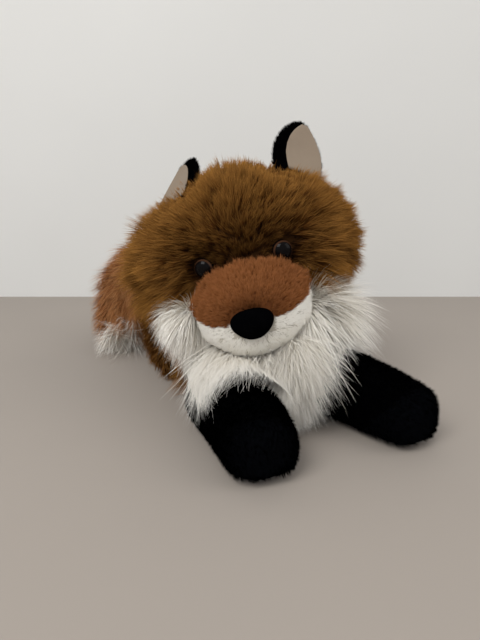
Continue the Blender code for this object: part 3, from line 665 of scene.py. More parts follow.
@dataclass
class Pad:
    """A padded form made from CAD solids: remeshed, swollen by a simulation and smoothed."""

    name: str
    body: str
    nodes: Sequence[str]
    voxel: float = 0.004
    swell: float = 0.0006
    cap: float = 0.0015
    fill: float = 0.85
    weld: float = 0.00001
    smoothing: int = 4
    pressure: float = 4
    frames: int = 20
    points: Array = field(init=False, repr=False)
    triangles: Array = field(init=False, repr=False)
    normals: Array = field(init=False, repr=False)

    def build(self) -> bpy.types.Object:
        """The padded piece at the origin.

        Returns:
            The new object, whose points, triangles and normals are kept for its coat.
        """
        parts = [mesh_arrays(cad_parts[node].data) for node in self.nodes]
        starts = np.cumsum([0, *(len(points) for points, _ in parts[:-1])])
        points = np.concatenate([points for points, _ in parts])
        triangles = np.concatenate([faces + start for (_, faces), start in zip(parts, starts)])
        piece = mesh_object(self.name, points, triangles)
        piece.modifiers.new("weld", "WELD").merge_threshold = self.weld
        remesh = piece.modifiers.new("remesh", "REMESH")
        remesh.mode = "VOXEL"
        remesh.voxel_size = self.voxel
        piece.modifiers.new("smooth", "SMOOTH").iterations = self.smoothing
        self.apply(piece)
        self.inflate(piece)
        self.measure(piece)
        self.put(piece, self.points + self.normals * self.swell)
        self.measure(piece)
        return piece

    def apply(self, piece: bpy.types.Object) -> None:
        """Puts the result of a piece's modifiers into its mesh."""
        graph = bpy.context.evaluated_depsgraph_get()
        mesh = bpy.data.meshes.new_from_object(piece.evaluated_get(graph))
        piece.modifiers.clear()
        old = piece.data
        piece.data = mesh
        mesh.name = self.name
        bpy.data.meshes.remove(old)
        mesh.shade_smooth()

    def inflate(self, piece: bpy.types.Object) -> None:
        """Swells the piece as cloth under pressure, no point further than the cap."""
        self.measure(piece)
        before = self.points
        cloth = piece.modifiers.new("cloth", "CLOTH")
        cloth.settings.use_pressure = True
        cloth.settings.uniform_pressure_force = self.pressure
        cloth.settings.quality = 4
        cloth.settings.effector_weights.gravity = 0
        cloth.point_cache.frame_end = self.frames
        for step in range(1, self.frames + 1):
            bpy.context.scene.frame_set(step)
        self.apply(piece)
        bpy.context.scene.frame_set(1)
        self.measure(piece)
        moved = self.points - before
        far = np.maximum(np.linalg.norm(moved, axis=1, keepdims=True), 1e-9)
        self.put(piece, before + moved * np.minimum(1, self.cap / far))

    def put(self, piece: bpy.types.Object, points: Array) -> None:
        """Moves the piece's points, none below the floor."""
        points[:, 2] = np.maximum(points[:, 2], FLOOR_CLEARANCE)
        piece.data.vertices.foreach_set("co", points.astype(np.float32).ravel())
        piece.data.update()

    def measure(self, piece: bpy.types.Object) -> None:
        """Reads the piece's points, triangles and normals."""
        self.points, self.triangles = mesh_arrays(piece.data)
        self.normals = point_normals(self.points, self.triangles)

    def dress(self, piece: bpy.types.Object, coat: Array) -> None:
        """Colours the backing, and has the piece stand for the last of its solids.

        Args:
            piece: the padded object.
            coat: the backing's colour at each point.
        """
        paint(piece, "coat", coat)
        declare(piece, BACKING, self.body, self.nodes[-1:])


# Strands


@dataclass(frozen=True)
class Pelt:
    """How a coat's strands grow: sizes in metres, angles in degrees from the surface's normal."""

    length: float
    width: float
    density: float
    root_lean: float
    tip_lean: float
    tuft: float = 0.0016
    tuft_size: int = 8
    gather: float = 0.55
    stray: float = 0.18
    tuft_stray: float = 0.16
    vary: float = 0.35
    droop: float = 0.0
    steps: int = 3
    roll: float = 65.0
    lock: float = 0.0
    lock_size: float = 0.011
    soften: float = 0.55
    over: tuple["Bolster", ...] = ()


@dataclass
class Roots:
    """Where tufts grow: places, normals, the way they are combed, a length share and a shade."""

    points: Array
    normals: Array
    comb: Array
    scale: Array
    shade: Array


@dataclass(frozen=True)
class Combed:
    """How tufts lie: their ways, whether they grow, length shares and shades."""

    way: Array
    grows: Array
    scale: Array | float = 1.0
    shade: Array | float = 0.0

    def within(self, region: Array) -> "Combed":
        """The same tufts, growing only in a region."""
        return replace(self, grows=self.grows & region)


Comb = Callable[[Array, Array], Combed]


@dataclass(frozen=True)
class Bolster:
    """A round bar that strands drape over: it runs ahead from a root."""

    root: Point
    heading: float
    start: float
    end: float
    radius: float

    def distances(self, points: Array) -> tuple[Array, Array]:
        """Offsets of points from the bar's middle line, and their lengths."""
        root = np.array(self.root)
        ahead = turn("Z", self.heading) @ np.array((0.0, -1.0, 0.0))
        along = np.clip((points - root) @ ahead, self.start, self.end)[..., None]
        offset = points - root - along * ahead
        return offset, np.linalg.norm(offset, axis=-1, keepdims=True)

    def push(self, points: Array) -> Array:
        """Points in the bar's upper part moved straight out onto its surface."""
        offset, length = self.distances(points)
        length = np.maximum(length, 1e-6)
        upper = smooth_step(offset[..., 2:] / length, -0.2, 0.4)
        return points + upper * offset * np.maximum(self.radius / length - 1, 0)


FRONT_LEGS = (
    Bolster((0.033, -0.048, 0.0195), 13.5, -0.022, 0.056, 0.0260),
    Bolster((-0.033, -0.048, 0.0190), -6.5, -0.022, 0.056, 0.0250),
)


def scatter(pad: Pad, pelt: Pelt, comb: Comb, rng: np.random.Generator) -> Roots:
    """Tufts spread evenly over a padded form.

    A triangle is drawn with a chance of its area, and a point on it by a = 1 - sqrt(u),
    b = sqrt(u) (1 - v) and c = sqrt(u) v. The coat's own comb then says which tufts stay.

    Args:
        pad: the form.
        pelt: the coat's sizes.
        comb: says how the tufts lie and which of them grow.
        rng: the source of chance.

    Returns:
        The tufts that stay.
    """
    corners = [pad.points[pad.triangles[:, i]] for i in range(3)]
    areas = np.linalg.norm(np.cross(corners[1] - corners[0], corners[2] - corners[0]), axis=1) / 2
    count = int(areas.sum() * 1e6 * pelt.density / pelt.tuft_size)
    chosen = np.searchsorted(np.cumsum(areas) / areas.sum(), rng.random(count)).clip(0, len(areas) - 1)
    u, v = np.sqrt(rng.random((count, 1))), rng.random((count, 1))
    weights = (1 - u, u * (1 - v), u * v)
    points = sum(w * corner[chosen] for w, corner in zip(weights, corners))
    normals = sum(w * pad.normals[pad.triangles[chosen, i]] for i, w in enumerate(weights))
    normals = unit(normals)
    combed = comb(points, normals)
    along = unit(combed.way - normals * np.sum(combed.way * normals, axis=1, keepdims=True))
    scale, shade = (np.broadcast_to(values, count) for values in (combed.scale, combed.shade))
    return Roots(*(values[combed.grows] for values in (points, normals, along, scale, shade)))


def flow(points: Array, size: float, rng: np.random.Generator) -> Array:
    """Three smooth random fields, each a sum of eight sine waves through the room.

    Args:
        points: where they are read.
        size: about how far apart two crests lie.
        rng: the source of chance.

    Returns:
        n x 3 values, mostly between -1 and 1.
    """
    waves = unit(rng.normal(size=(3, 8, 3))) * 2 * np.pi / (size * rng.uniform(0.7, 1.5, (3, 8, 1)))
    phases = rng.uniform(0, 2 * np.pi, (3, 8))
    return np.sin(np.einsum("ni,fki->nfk", points, waves) + phases).sum(2) / 2.8


def trimmed(lines: Array) -> Array:
    """Strands cut where they would reach further past the box round the solids than a margin of REACH_SHARE of its
    size plus REACH_PAST.

    Args:
        lines: strands x points x 3.

    Returns:
        The same strands, each drawn back along its own line to stay inside.
    """
    low, high = np.array(CAD_BOX[0]), np.array(CAD_BOX[1])
    margin = REACH_SHARE * (high - low) + REACH_PAST
    root = lines[:, :1]
    way = lines - root
    room = np.where(way > 0, high + margin - root, root - low + margin)
    share = np.min(np.where(np.abs(way) > 1e-6, room / np.maximum(np.abs(way), 1e-6), 1.0), axis=(1, 2))
    return root + way * np.clip(share, 0, 1)[:, None, None]


def strand_lines(roots: Roots, pelt: Pelt, rng: np.random.Generator) -> dict[str, Array]:
    """The centre line of every strand.

    The angle from the normal grows evenly from the root's to the tip's along a strand, so
    its height is the mean of the cosine and its reach the mean of the sine, up to there.
    Within a tuft the strands draw together towards the tips, and all sag by droop t^2.

    Args:
        roots: the tufts.
        pelt: the coat's sizes.
        rng: the source of chance.

    Returns:
        Arrays by name: lines (strands x points x 3), across, normal, tone and shade.
    """
    m, n = pelt.tuft_size, len(roots.points)
    locks = pelt.lock * flow(roots.points, pelt.lock_size, rng)
    side = np.cross(roots.normals, roots.comb)
    angle = rng.normal(0, pelt.tuft_stray, (n, 1)) + locks[:, :1]
    comb = unit(roots.comb + side * np.tan(np.clip(angle, -1.2, 1.2)))
    lift = rng.normal(0, pelt.tuft_stray, (n, 1)) + 0.7 * locks[:, 1:2]
    total = n * m
    turns = rng.random((total, 1)) * 2 * np.pi
    radius = pelt.tuft * np.sqrt(rng.random((total, 1)))
    offset = radius * (np.cos(turns) * repeated(roots.comb, m) + np.sin(turns) * repeated(side, m))
    normals, centres, comb, side = (repeated(v, m) for v in (roots.normals, roots.points, comb, side))
    scale = repeated(roots.scale[:, None] * (1 + 0.5 * locks[:, 2:]), m)
    lift, shade = repeated(lift, m), repeated(roots.shade[:, None], m)
    comb = unit(comb + side * rng.normal(0, pelt.stray, (total, 1)))
    start = np.radians(pelt.root_lean) + lift + rng.normal(0, pelt.stray, (total, 1))
    bend = np.radians(pelt.tip_lean - pelt.root_lean) * (1 + rng.normal(0, 0.25, (total, 1)))
    bend = np.where(np.abs(bend) < 0.02, 0.02, bend)
    length = pelt.length * scale * (1 - pelt.vary * rng.random((total, 1)) ** 1.5)
    t = np.linspace(0, 1, pelt.steps + 1)[None, :, None]
    start, bend, length = start[:, None], bend[:, None], length[:, None]
    up = (np.sin(start + bend * t) - np.sin(start)) / bend
    out = (np.cos(start) - np.cos(start + bend * t)) / bend
    lines = (centres + offset)[:, None] + length * (up * normals[:, None] + out * comb[:, None])
    lines = lines - offset[:, None] * pelt.gather * t
    lines[..., 2:] -= pelt.droop * length * t * t
    lines = lines - normals[:, None] * ROOT_DEPTH
    for bar in pelt.over:
        lines = bar.push(lines)
    lines = trimmed(lines)
    lines[..., 2] = np.maximum(lines[..., 2], FLOOR_CLEARANCE)
    ahead = unit(lines[:, -1] - lines[:, 0])
    across = unit(np.cross(ahead, normals))
    roll = np.radians(pelt.roll) * (2 * rng.random((total, 1)) - 1)
    across = unit(across * np.cos(roll) + np.cross(across, ahead) * np.sin(roll))
    facing = np.cross(across, ahead)
    outward = np.where(np.sum(facing * normals, axis=1, keepdims=True) < 0, -1.0, 1.0)
    shading = unit(pelt.soften * normals + (1 - pelt.soften) * facing * outward)
    tone = 0.6 * rng.random((total, 1)) + 0.4 * repeated(rng.random((n, 1)), m)
    return {
        "lines": lines, "across": across * outward, "normal": shading, "tone": tone[:, 0], "shade": shade[:, 0]
    }


def repeated(values: Array, count: int) -> Array:
    """Each row of an array, count times over."""
    return np.repeat(values, count, axis=0)


def ribbon_mesh(name: str, strands: dict[str, Array], width: float) -> bpy.types.Object:
    """Flat strands that taper to a point, as one piece.

    Each strand has two points a step, half the width to either side of its line, the width
    falling as 1 - t^2, and one point at its tip. Its bake cell is its own square of a grid.

    Args:
        name: the piece's name.
        strands: the arrays of strand_lines.
        width: the width at the roots.

    Returns:
        The new object with its strand attribute and bake cells.
    """
    lines, across = strands["lines"], strands["across"]
    count, points = lines.shape[:2]
    steps = points - 1
    t = np.linspace(0, 1, points)
    half = (width / 2 * (1 - t[:-1] ** 2))[None, :, None] * across[:, None]
    body = np.stack([lines[:, :-1] - half, lines[:, :-1] + half], 2).reshape(count, 2 * steps, 3)
    places = np.concatenate([body, lines[:, -1:]], 1)
    each = 2 * steps + 1
    low = 2 * np.arange(steps - 1)[:, None]
    ladder = np.concatenate([low + [[0, 1, 3]], low + [[0, 3, 2]]]) if steps > 1 else np.empty((0, 3), int)
    ladder = np.concatenate([ladder, [[each - 3, each - 2, each - 1]]]).astype(np.int64)
    faces = (np.arange(count)[:, None, None] * each + ladder[None]).reshape(-1, 3)
    piece = mesh_object(name, places.reshape(-1, 3), faces)
    along = np.append(np.repeat(t[:-1], 2), 1.0)
    values = stacked(strands["tone"][:, None], along[None], strands["shade"][:, None])
    paint(piece, "strand", values.reshape(-1, 3))
    cells = math.ceil(math.sqrt(count))
    corner = np.stack([np.arange(count) % cells, np.arange(count) // cells], -1)[:, None]
    sides = np.append(np.tile([0.15, 0.85], steps), 0.5)
    inside = np.stack([sides, 0.15 + 0.7 * along], -1)[None]
    flat = ((corner + inside) / cells).reshape(-1, 2)
    layer = piece.data.uv_layers.new(name="OFBake")
    order = np.empty(len(piece.data.loops), np.int32)
    piece.data.loops.foreach_get("vertex_index", order)
    layer.data.foreach_set("uv", flat[order].astype(np.float32).ravel())
    piece.data.normals_split_custom_set_from_vertices(repeated(strands["normal"], each))
    return piece


@dataclass
class Coat:
    """A coat of strands on a padded form, in as many pieces as its size asks for."""

    name: str
    pad: Pad
    finish: FurFinish
    pelt: Pelt
    comb: Comb
    nodes: Sequence[str] = ()
    seed: int = 1

    def build(self) -> None:
        """Grows the strands and sets them to ride on the form's body."""
        rng = np.random.default_rng(self.seed)
        strands = strand_lines(scatter(self.pad, self.pelt, self.comb, rng), self.pelt, rng)
        total = len(strands["tone"])
        count = math.ceil(total * (2 * self.pelt.steps - 1) / MOST_TRIANGLES)
        for i, chosen in enumerate(np.array_split(np.arange(total), count)):
            name = self.name if count == 1 else f"{self.name}_{i + 1}"
            piece = ribbon_mesh(name, {key: value[chosen] for key, value in strands.items()}, self.pelt.width)
            declare(piece, self.finish, self.pad.body, self.nodes)


def near(points: Array, centre: Point, radius: float) -> Array:
    """exp(-(d / radius)^2) of each point's distance from a centre."""
    return np.exp(-np.sum((points - np.array(centre)) ** 2, axis=1) / radius**2)


def leaning(across: Array, rise: Array, degrees: float) -> Array:
    """How far places lie past a plane that leans by an angle: a cos t - r sin t."""
    return across * math.cos(math.radians(degrees)) - rise * math.sin(math.radians(degrees))


# The fox's own sub-assemblies


@dataclass
class Head:
    """The head: crown and cheeks in long ticked fur, white ruff below, over a padded form.

    Places are in the head's own frame. Each clearing is a place where the crown's fur is
    shorter, the share that it loses there, and how wide the clearing is.
    """

    face: Point = (0.0, -0.050, -0.006)
    front: float = -0.02
    seam: float = -0.022
    cheek: Point = (0.040, 0.030, 0.028)
    cheek_drop: float = 0.013
    cheek_size: float = 0.022
    ruff_foot: float = -0.052
    muzzle: tuple[float, float, float] = (0.0350, 0.0228, 0.0285)
    eye: Point = (0.0235, -0.042, 0.003)
    eye_clear: float = 0.0068
    # brow_size, bridge and bridge_size set where painted shade darkens the fur round the eyes and over the bridge;
    # near the eyes the fur is also shorter.
    brow_size: float = 0.013
    bridge: Point = (0.0, -0.048, 0.008)
    bridge_size: float = 0.018
    clearings: Sequence[tuple[Point, float, float]] = (
        ((0.029, -0.011, 0.040), 0.78, 0.022),
        ((-0.027, -0.011, 0.041), 0.88, 0.020),
        ((0.0, 0.0, 0.054), 0.26, 0.028),
    )
    crown: Pelt = Pelt(
        0.025, 0.00037, 3.5, 32, 64, tuft=0.0019, tuft_size=12, droop=0.06, lock=0.32, gather=0.85, soften=0.3, roll=50
    )
    ruff: Pelt = Pelt(0.026, 0.00040, 4.1, 56, 86, gather=0.3, droop=0.35, lock=0.20, soften=0.8, roll=35)

    def comb(self, points: Array, normals: Array) -> Combed:
        """Away from the bridge of the nose, a little downwards on the cheeks.

        Args:
            points: the tufts' places.
            normals: the form's normals there; not used.

        Returns:
            How the tufts lie, with the eyes left bare and painted shade darkening the fur round the eyes, under the
            brows, and over the bridge.
        """
        q = HEAD.local(points)
        away = q - np.array(self.face)
        way = unit(away)
        way[:, 2] -= 0.25 * smooth_step(np.abs(q[:, 0]), 0.03, 0.06)
        mirrored = stacked(np.abs(q[:, 0]), q[:, 1], q[:, 2])
        brow = near(mirrored, self.eye, self.brow_size)
        scale = 0.40 + 0.60 * smooth_step(np.linalg.norm(away, axis=1), 0.018, 0.055)
        scale = scale * (1 - 0.25 * brow) * (1 - 0.38 * smooth_step(q[:, 0], 0.035, 0.062))
        for place, share, size in self.clearings:
            scale = scale * (1 - share * near(q, place, size))
        from_eye = np.hypot(mirrored[:, 0] - self.eye[0], mirrored[:, 2] - self.eye[2])
        grows = ~((q[:, 1] < self.front) & (from_eye < self.eye_clear))
        # Painted shade in the hollows: darker fur round the eyes, under the brows, and over the bridge between them.
        shade = np.clip(0.85 * brow + 0.5 * near(q, self.bridge, self.bridge_size), 0, 0.9)
        return Combed(HEAD.aim(way), grows, scale, shade)

    def in_muzzle(self, q: Array, share: float) -> Array:
        """Whether points of the head's frame lie behind the muzzle, in a share of its outline."""
        wide, drop, high = self.muzzle
        return (q[:, 1] < self.front) & ((q[:, 0] / wide) ** 2 + ((q[:, 2] + drop) / high) ** 2 < share**2)

    def above_seam(self, q: Array) -> Array:
        """How far points of the head's frame lie above the cheeks' seam, lower beside the muzzle."""
        return q[:, 2] - self.seam + self.cheek_drop * near(np.abs(q), self.cheek, self.cheek_size)

    def crown_comb(self, points: Array, normals: Array) -> Combed:
        """The brown fur above the cheeks' seam, combed down beside the muzzle.

        Args:
            points: the tufts' places.
            normals: the form's normals there.

        Returns:
            How the tufts lie.
        """
        combed, q = self.comb(points, normals), HEAD.local(points)
        low = smooth_step(-q[:, 2], 0.004, 0.026) * smooth_step(-q[:, 1], -0.024, 0.016)
        combed = replace(combed, way=combed.way - low[:, None] * HEAD.axes[:, 2])
        return combed.within((self.above_seam(q) > 0) & ~self.in_muzzle(q, 0.92))

    def ruff_comb(self, points: Array, normals: Array) -> Combed:
        """The white fur below the cheeks' seam, combed down.

        Args:
            points: the tufts' places.
            normals: the form's normals there.

        Returns:
            How the tufts lie.
        """
        q = HEAD.local(points)
        way = self.comb(points, normals).way + np.array((0, 0, -1.5))
        scale = 0.35 + 0.65 * smooth_step(np.linalg.norm(q - np.array(self.face), axis=1), 0.036, 0.060)
        grows = (self.above_seam(q) <= 0) & (q[:, 2] > self.ruff_foot) & ~self.in_muzzle(q, 1.04)
        return Combed(way, grows, scale)

    def build(self) -> None:
        """The head's padded form and its two coats."""
        pad = Pad("head_pad", "head", ["head_stuffing"], voxel=0.0045, swell=0.0015, cap=0.002)
        piece = pad.build()
        pad.dress(piece, two_tone(self.above_seam(HEAD.local(pad.points)), 0.002))
        Coat("crown_fur", pad, CROWN_FUR, self.crown, self.crown_comb, ["head_cover"], 11).build()
        Coat("cheek_fur", pad, WHITE_FUR, self.ruff, self.ruff_comb, ["cheek_ruff"], 12).build()


@dataclass
class Muzzle:
    """The muzzle: short rust pile on top, short white pile on the chin, long fur under it."""

    tip: float = -0.084
    seam_drop: float = -0.023
    seam_lean: float = 8.0
    seam_gap: float = 0.0002
    nose: tuple[float, float, float] = (0.0105, -0.0225, 0.0070)
    top: Pelt = Pelt(
        0.0052, 0.00028, 8.0, 20, 62, tuft=0.0010, tuft_size=6, steps=2, gather=0.5, soften=0.5, roll=30, lock=0.2,
        lock_size=0.006,
    )
    chin: Pelt = Pelt(
        0.0052, 0.00042, 6.4, 60, 84, tuft=0.0010, tuft_size=6, tuft_stray=0.06, stray=0.12, steps=2, gather=0.2,
        soften=0.9, roll=5,
    )
    throat: Pelt = Pelt(
        0.050, 0.00036, 6.0, 66, 86, gather=0.3, droop=0.22, lock=0.12, vary=0.30, steps=4, soften=0.8, roll=35,
        over=FRONT_LEGS,
    )

    def above(self, points: Array) -> Array:
        """How far points lie above the seam between top and chin."""
        q = HEAD.local(points)
        return leaning(q[:, 2] - self.seam_drop, q[:, 1] - self.tip, self.seam_lean)

    def comb(self, points: Array, normals: Array) -> Combed:
        """Back and outwards from the nose.

        Args:
            points: the tufts' places.
            normals: the form's normals there; not used.

        Returns:
            How the tufts lie, with none behind the nose or inside the face, darker round the nose, and with painted
            shade towards the back where the muzzle meets the hollow under the brows.
        """
        q = HEAD.local(points)
        wide, rise, high = self.nose
        nose = (np.abs(q[:, 0]) < wide) & (np.abs(q[:, 2] - rise) < high) & (q[:, 1] < -0.06)
        scale = 0.8 + 0.9 * smooth_step(q[:, 1], -0.066, -0.044)
        # Darker round the nose; towards the back, painted shade where the muzzle meets the hollow under the brows.
        shade = 0.55 * near(q, (0, self.tip, rise), 0.011) + 0.35 * smooth_step(q[:, 1], -0.052, -0.040)
        way = HEAD.aim(unit(q - np.array((0, -0.095, -0.024))))
        return Combed(way, ~nose & (q[:, 1] < -0.034), scale, shade)

    def top_comb(self, points: Array, normals: Array) -> Combed:
        """The comb above the seam."""
        return self.comb(points, normals).within(self.above(points) > self.seam_gap)

    def chin_comb(self, points: Array, normals: Array) -> Combed:
        """The comb below the seam."""
        return replace(self.comb(points, normals), shade=0.0).within(self.above(points) < -self.seam_gap)

    def throat_comb(self, points: Array, normals: Array) -> Combed:
        """Forwards and a little outwards from under the chin.

        Args:
            points: the tufts' places.
            normals: the form's normals there.

        Returns:
            How the tufts lie.
        """
        q = HEAD.local(points)
        under = ((normals @ HEAD.axes)[:, 2] < -0.72) & (q[:, 1] > -0.066) & (q[:, 1] < -0.030)
        return Combed(HEAD.aim(stacked(9 * q[:, 0], -1.0, -0.2)), under)

    def build(self) -> None:
        """The muzzle's padded form and its three coats."""
        pad = Pad("muzzle_pad", "head", ["muzzle_stuffing"], voxel=0.0028, swell=0.0008, cap=0.0012)
        piece = pad.build()
        above = (self.above(pad.points) > 0)[:, None]
        pad.dress(piece, np.where(above, np.array((0.13, 0.045, 0.016)), np.array((0.60, 0.56, 0.48))))
        Coat("muzzle_pile", pad, RUST_PILE, self.top, self.top_comb, ["muzzle_top"], 21).build()
        Coat("chin_pile", pad, CHIN_PILE, self.chin, self.chin_comb, ["muzzle_chin"], 22).build()
        Coat("throat_fur", pad, WHITE_FUR, self.throat, self.throat_comb, [], 23).build()


@dataclass
class Nose:
    """The velvet nose, sewn on proud of the muzzle: a rounded triangle, widest near its top."""

    width: float = 0.0262
    height: float = 0.0162
    depth: float = 0.0150
    tip: float = -0.0905
    drop: float = -0.0232
    pile: Pelt = Pelt(0.0011, 0.00020, 12.0, 30, 60, tuft=0.0006, tuft_size=4, steps=1)

    def comb(self, points: Array, normals: Array) -> Combed:
        """Downwards over the whole nose."""
        down = np.broadcast_to(np.array((0.0, 0.0, -1.0)), points.shape)
        return Combed(HEAD.aim(down), np.full(len(points), True))

    def form(self) -> bpy.types.Object:
        """A ball drawn into the nose's shape.

        With the ball's own x, y and z between -1 and 1, the width follows
        0.88 + 0.20 z - 0.08 z^2 and the lower edge is rounder than the upper one.

        Returns:
            The closed piece.
        """
        rise = np.linspace(-np.pi / 2 + 0.02, np.pi / 2 - 0.02, 30)[:, None]
        a = np.linspace(0, 2 * np.pi, 48, endpoint=False)[None]
        z = np.sin(rise)
        ring = np.abs(np.cos(rise)) ** 0.72
        share = 0.88 + 0.20 * z - 0.08 * z**2
        x = self.width / 2 * ring * share * np.sign(np.cos(a)) * np.abs(np.cos(a)) ** 0.85
        y = self.tip + self.depth / 2 + self.depth / 2 * ring * np.sin(a) * (0.92 + 0.08 * z)
        return closed_rings("nose_pad", HEAD.world(stacked(x, y, self.drop + self.height / 2 * z)))

    def build(self) -> None:
        """The padded nose and its short nap."""
        pad = Pad("nose_pad", "head", [], fill=1.0)
        piece = self.form()
        pad.measure(piece)
        declare(piece, VELVET, "head", ["nose"])
        Coat("nose_nap", pad, BLACK_PILE, self.pile, self.comb, [], 31).build()


@dataclass
class Eyes:
    """Two domed button eyes in the fur beside the bridge of the nose."""

    spacing: float = 0.047
    rise: float = 0.003
    sink: float = 0.0405
    turn: float = 15.0
    radius: float = 0.006
    dome: float = 0.0042
    brim: float = 0.0008
    proud: float = 0.0008
    back: float = 0.6
    around: int = 48

    def build(self) -> None:
        """Both eyes, each a dome turned about its own axis: r = R sin a, h = H cos a."""
        a = np.linspace(math.pi / 2, 0.03, 16)
        radii = np.concatenate([[self.radius * self.back, self.radius], self.radius * np.sin(a)])
        heights = np.concatenate([[-self.brim, -self.brim], self.brim + self.dome * np.cos(a)])
        turns = np.linspace(0, 2 * math.pi, self.around, endpoint=False)
        flat = radii[:, None, None] * np.stack([np.cos(turns), -np.sin(turns)], -1)
        rim = np.append(np.repeat(radii / self.radius, self.around), [self.back, 0.0])
        for side in Side:
            local = stacked(flat[..., 0], -heights[:, None] - self.proud, -flat[..., 1])
            local = local @ turn("Z", side.value * self.turn).T
            local = local + np.array((side.value * self.spacing / 2, -self.sink, self.rise))
            piece = closed_rings(f"eye_dome_{side.word}", HEAD.world(local))
            paint(piece, "rim", stacked(rim, rim, rim))
            declare(piece, EyeFinish(), "head", [f"eye_{side.word}"])


@dataclass
class Ear:
    """An ear: a cupped plush back and a suede face that leaves a black edge."""

    side: Side
    hinge: Place
    sway: float
    length: float
    outer: float
    band: float
    width: float
    thick: float = 0.0036
    face_thick: float = 0.0012
    face_gap: float = 0.0004
    cup: float = 0.006
    band_tip: float = 0.0040
    pile: Pelt = Pelt(0.0030, 0.00026, 7.0, 30, 65, tuft=0.0009, tuft_size=5, steps=1)

    def outline(self, rise: Array) -> Array:
        """Half the width up the ear: full low down, falling in a curve to a round tip."""
        places = (0, 0.2, 0.34, 0.5, 0.65, 0.78, 0.88, 0.95, 1)
        shares = (0.92, 0.99, 1.0, 0.92, 0.78, 0.60, 0.42, 0.26, 0.03)
        return self.width / 2 * np.interp(rise, places, shares)

    def edge(self, rise: Array) -> Array:
        """How wide the black edge on the crown's side is, up the ear."""
        return self.band + (self.band_tip - self.band) * rise

    def sheet(self, low: float, high: float, face: bool, front: float, thick: float) -> Array:
        """A pillow between two heights.

        Each ring is a thin oval: u = c + h cos a towards the crown and
        y = cup (1 - (2u / w)^2) sin(pi rise / 2) + t sin a, the tip swayed by sway rise^2.

        Args:
            low: where it starts, as a share of the length.
            high: where it ends.
            face: whether it keeps the black band free on the crown's side.
            front: how far it stands in front of the ear's own sheet.
            thick: its thickness.

        Returns:
            Rings of points in the room.
        """
        rise = low + (high - low) * np.sin(np.linspace(0, math.pi / 2, 28))[:, None]
        a = np.linspace(0, 2 * math.pi, 40, endpoint=False)[None]
        sign = -self.side.value
        inner = self.outline(rise) - self.edge(rise) * face
        outer = self.outline(rise) * self.outer - 0.0006 * face
        h = np.maximum((inner + outer) / 2, 0.0001)
        u = (inner - outer) / 2 + h * np.sign(np.cos(a)) * np.abs(np.cos(a)) ** 0.8
        hollow = self.cup * (1 - (2 * u / self.width) ** 2) * np.sin(np.pi * rise / 2)
        y = hollow + self.thick / 2 - front + thick / 2 * np.minimum(1, h / 0.004) * np.sin(a) * sign
        return self.hinge.world(stacked(sign * (u + self.sway * rise**2), y, self.length * rise))

    def comb(self, points: Array, normals: Array) -> Combed:
        """Towards the tip and outwards, everywhere but under the suede face.

        Args:
            points: the tufts' places.
            normals: the form's normals there.

        Returns:
            How the tufts lie.
        """
        q = self.hinge.local(points)
        rise = np.clip(q[:, 2] / self.length, 0, 1)
        inward = -self.side.value * q[:, 0] - self.sway * rise**2
        half = self.outline(rise)
        way = stacked(-self.side.value * inward / half, 0.1, 0.8)
        bare = ((normals @ self.hinge.axes)[:, 1] < 0.1) & (rise < 0.93)
        bare &= (inward < half - self.edge(rise) + 0.0005) & (inward > -self.outer * half + 0.001)
        return Combed(self.hinge.aim(way), ~bare & (rise > 0.03))

    def build(self) -> None:
        """The plush back with its nap, and the suede face."""
        word, body = self.side.word, f"ear_{self.side.word}"
        back = closed_rings(f"ear_plush_{word}", self.sheet(-0.06, 1.0, False, 0, self.thick))
        declare(back, VELVET, body, [f"ear_back_{word}"])
        rings = self.sheet(0.06, 0.95, True, self.thick / 2 + self.face_gap, self.face_thick)
        declare(closed_rings(f"ear_suede_{word}", rings), SUEDE, body, [f"ear_face_{word}"])
        pad = Pad(f"ear_plush_{word}", body, [])
        pad.measure(back)
        Coat(f"ear_nap_{word}", pad, BLACK_PILE, self.pile, self.comb, [], 41).build()


def ears() -> list[Ear]:
    """Both ears, each in the frame of its own fold in the head.

    Returns:
        The ears, the left one first.
    """
    rows = (
        (Side.LEFT, 0.048, 0.0360, 30, 0.006, 0.0405, 0.54, 0.0110, 0.047),
        (Side.RIGHT, 0.0385, 0.0390, 50, 0.0145, 0.0300, 0.80, 0.0150, 0.051),
    )
    made = []
    for side, x, z, lean, *sizes in rows:
        axes = HEAD.axes @ turn("Y", side.value * 34) @ turn("Z", side.value * 12) @ turn("X", -lean)
        made.append(Ear(side, Place(HEAD.world(np.array([side.value * x, 0.006, z])), axes), *sizes))
    return made


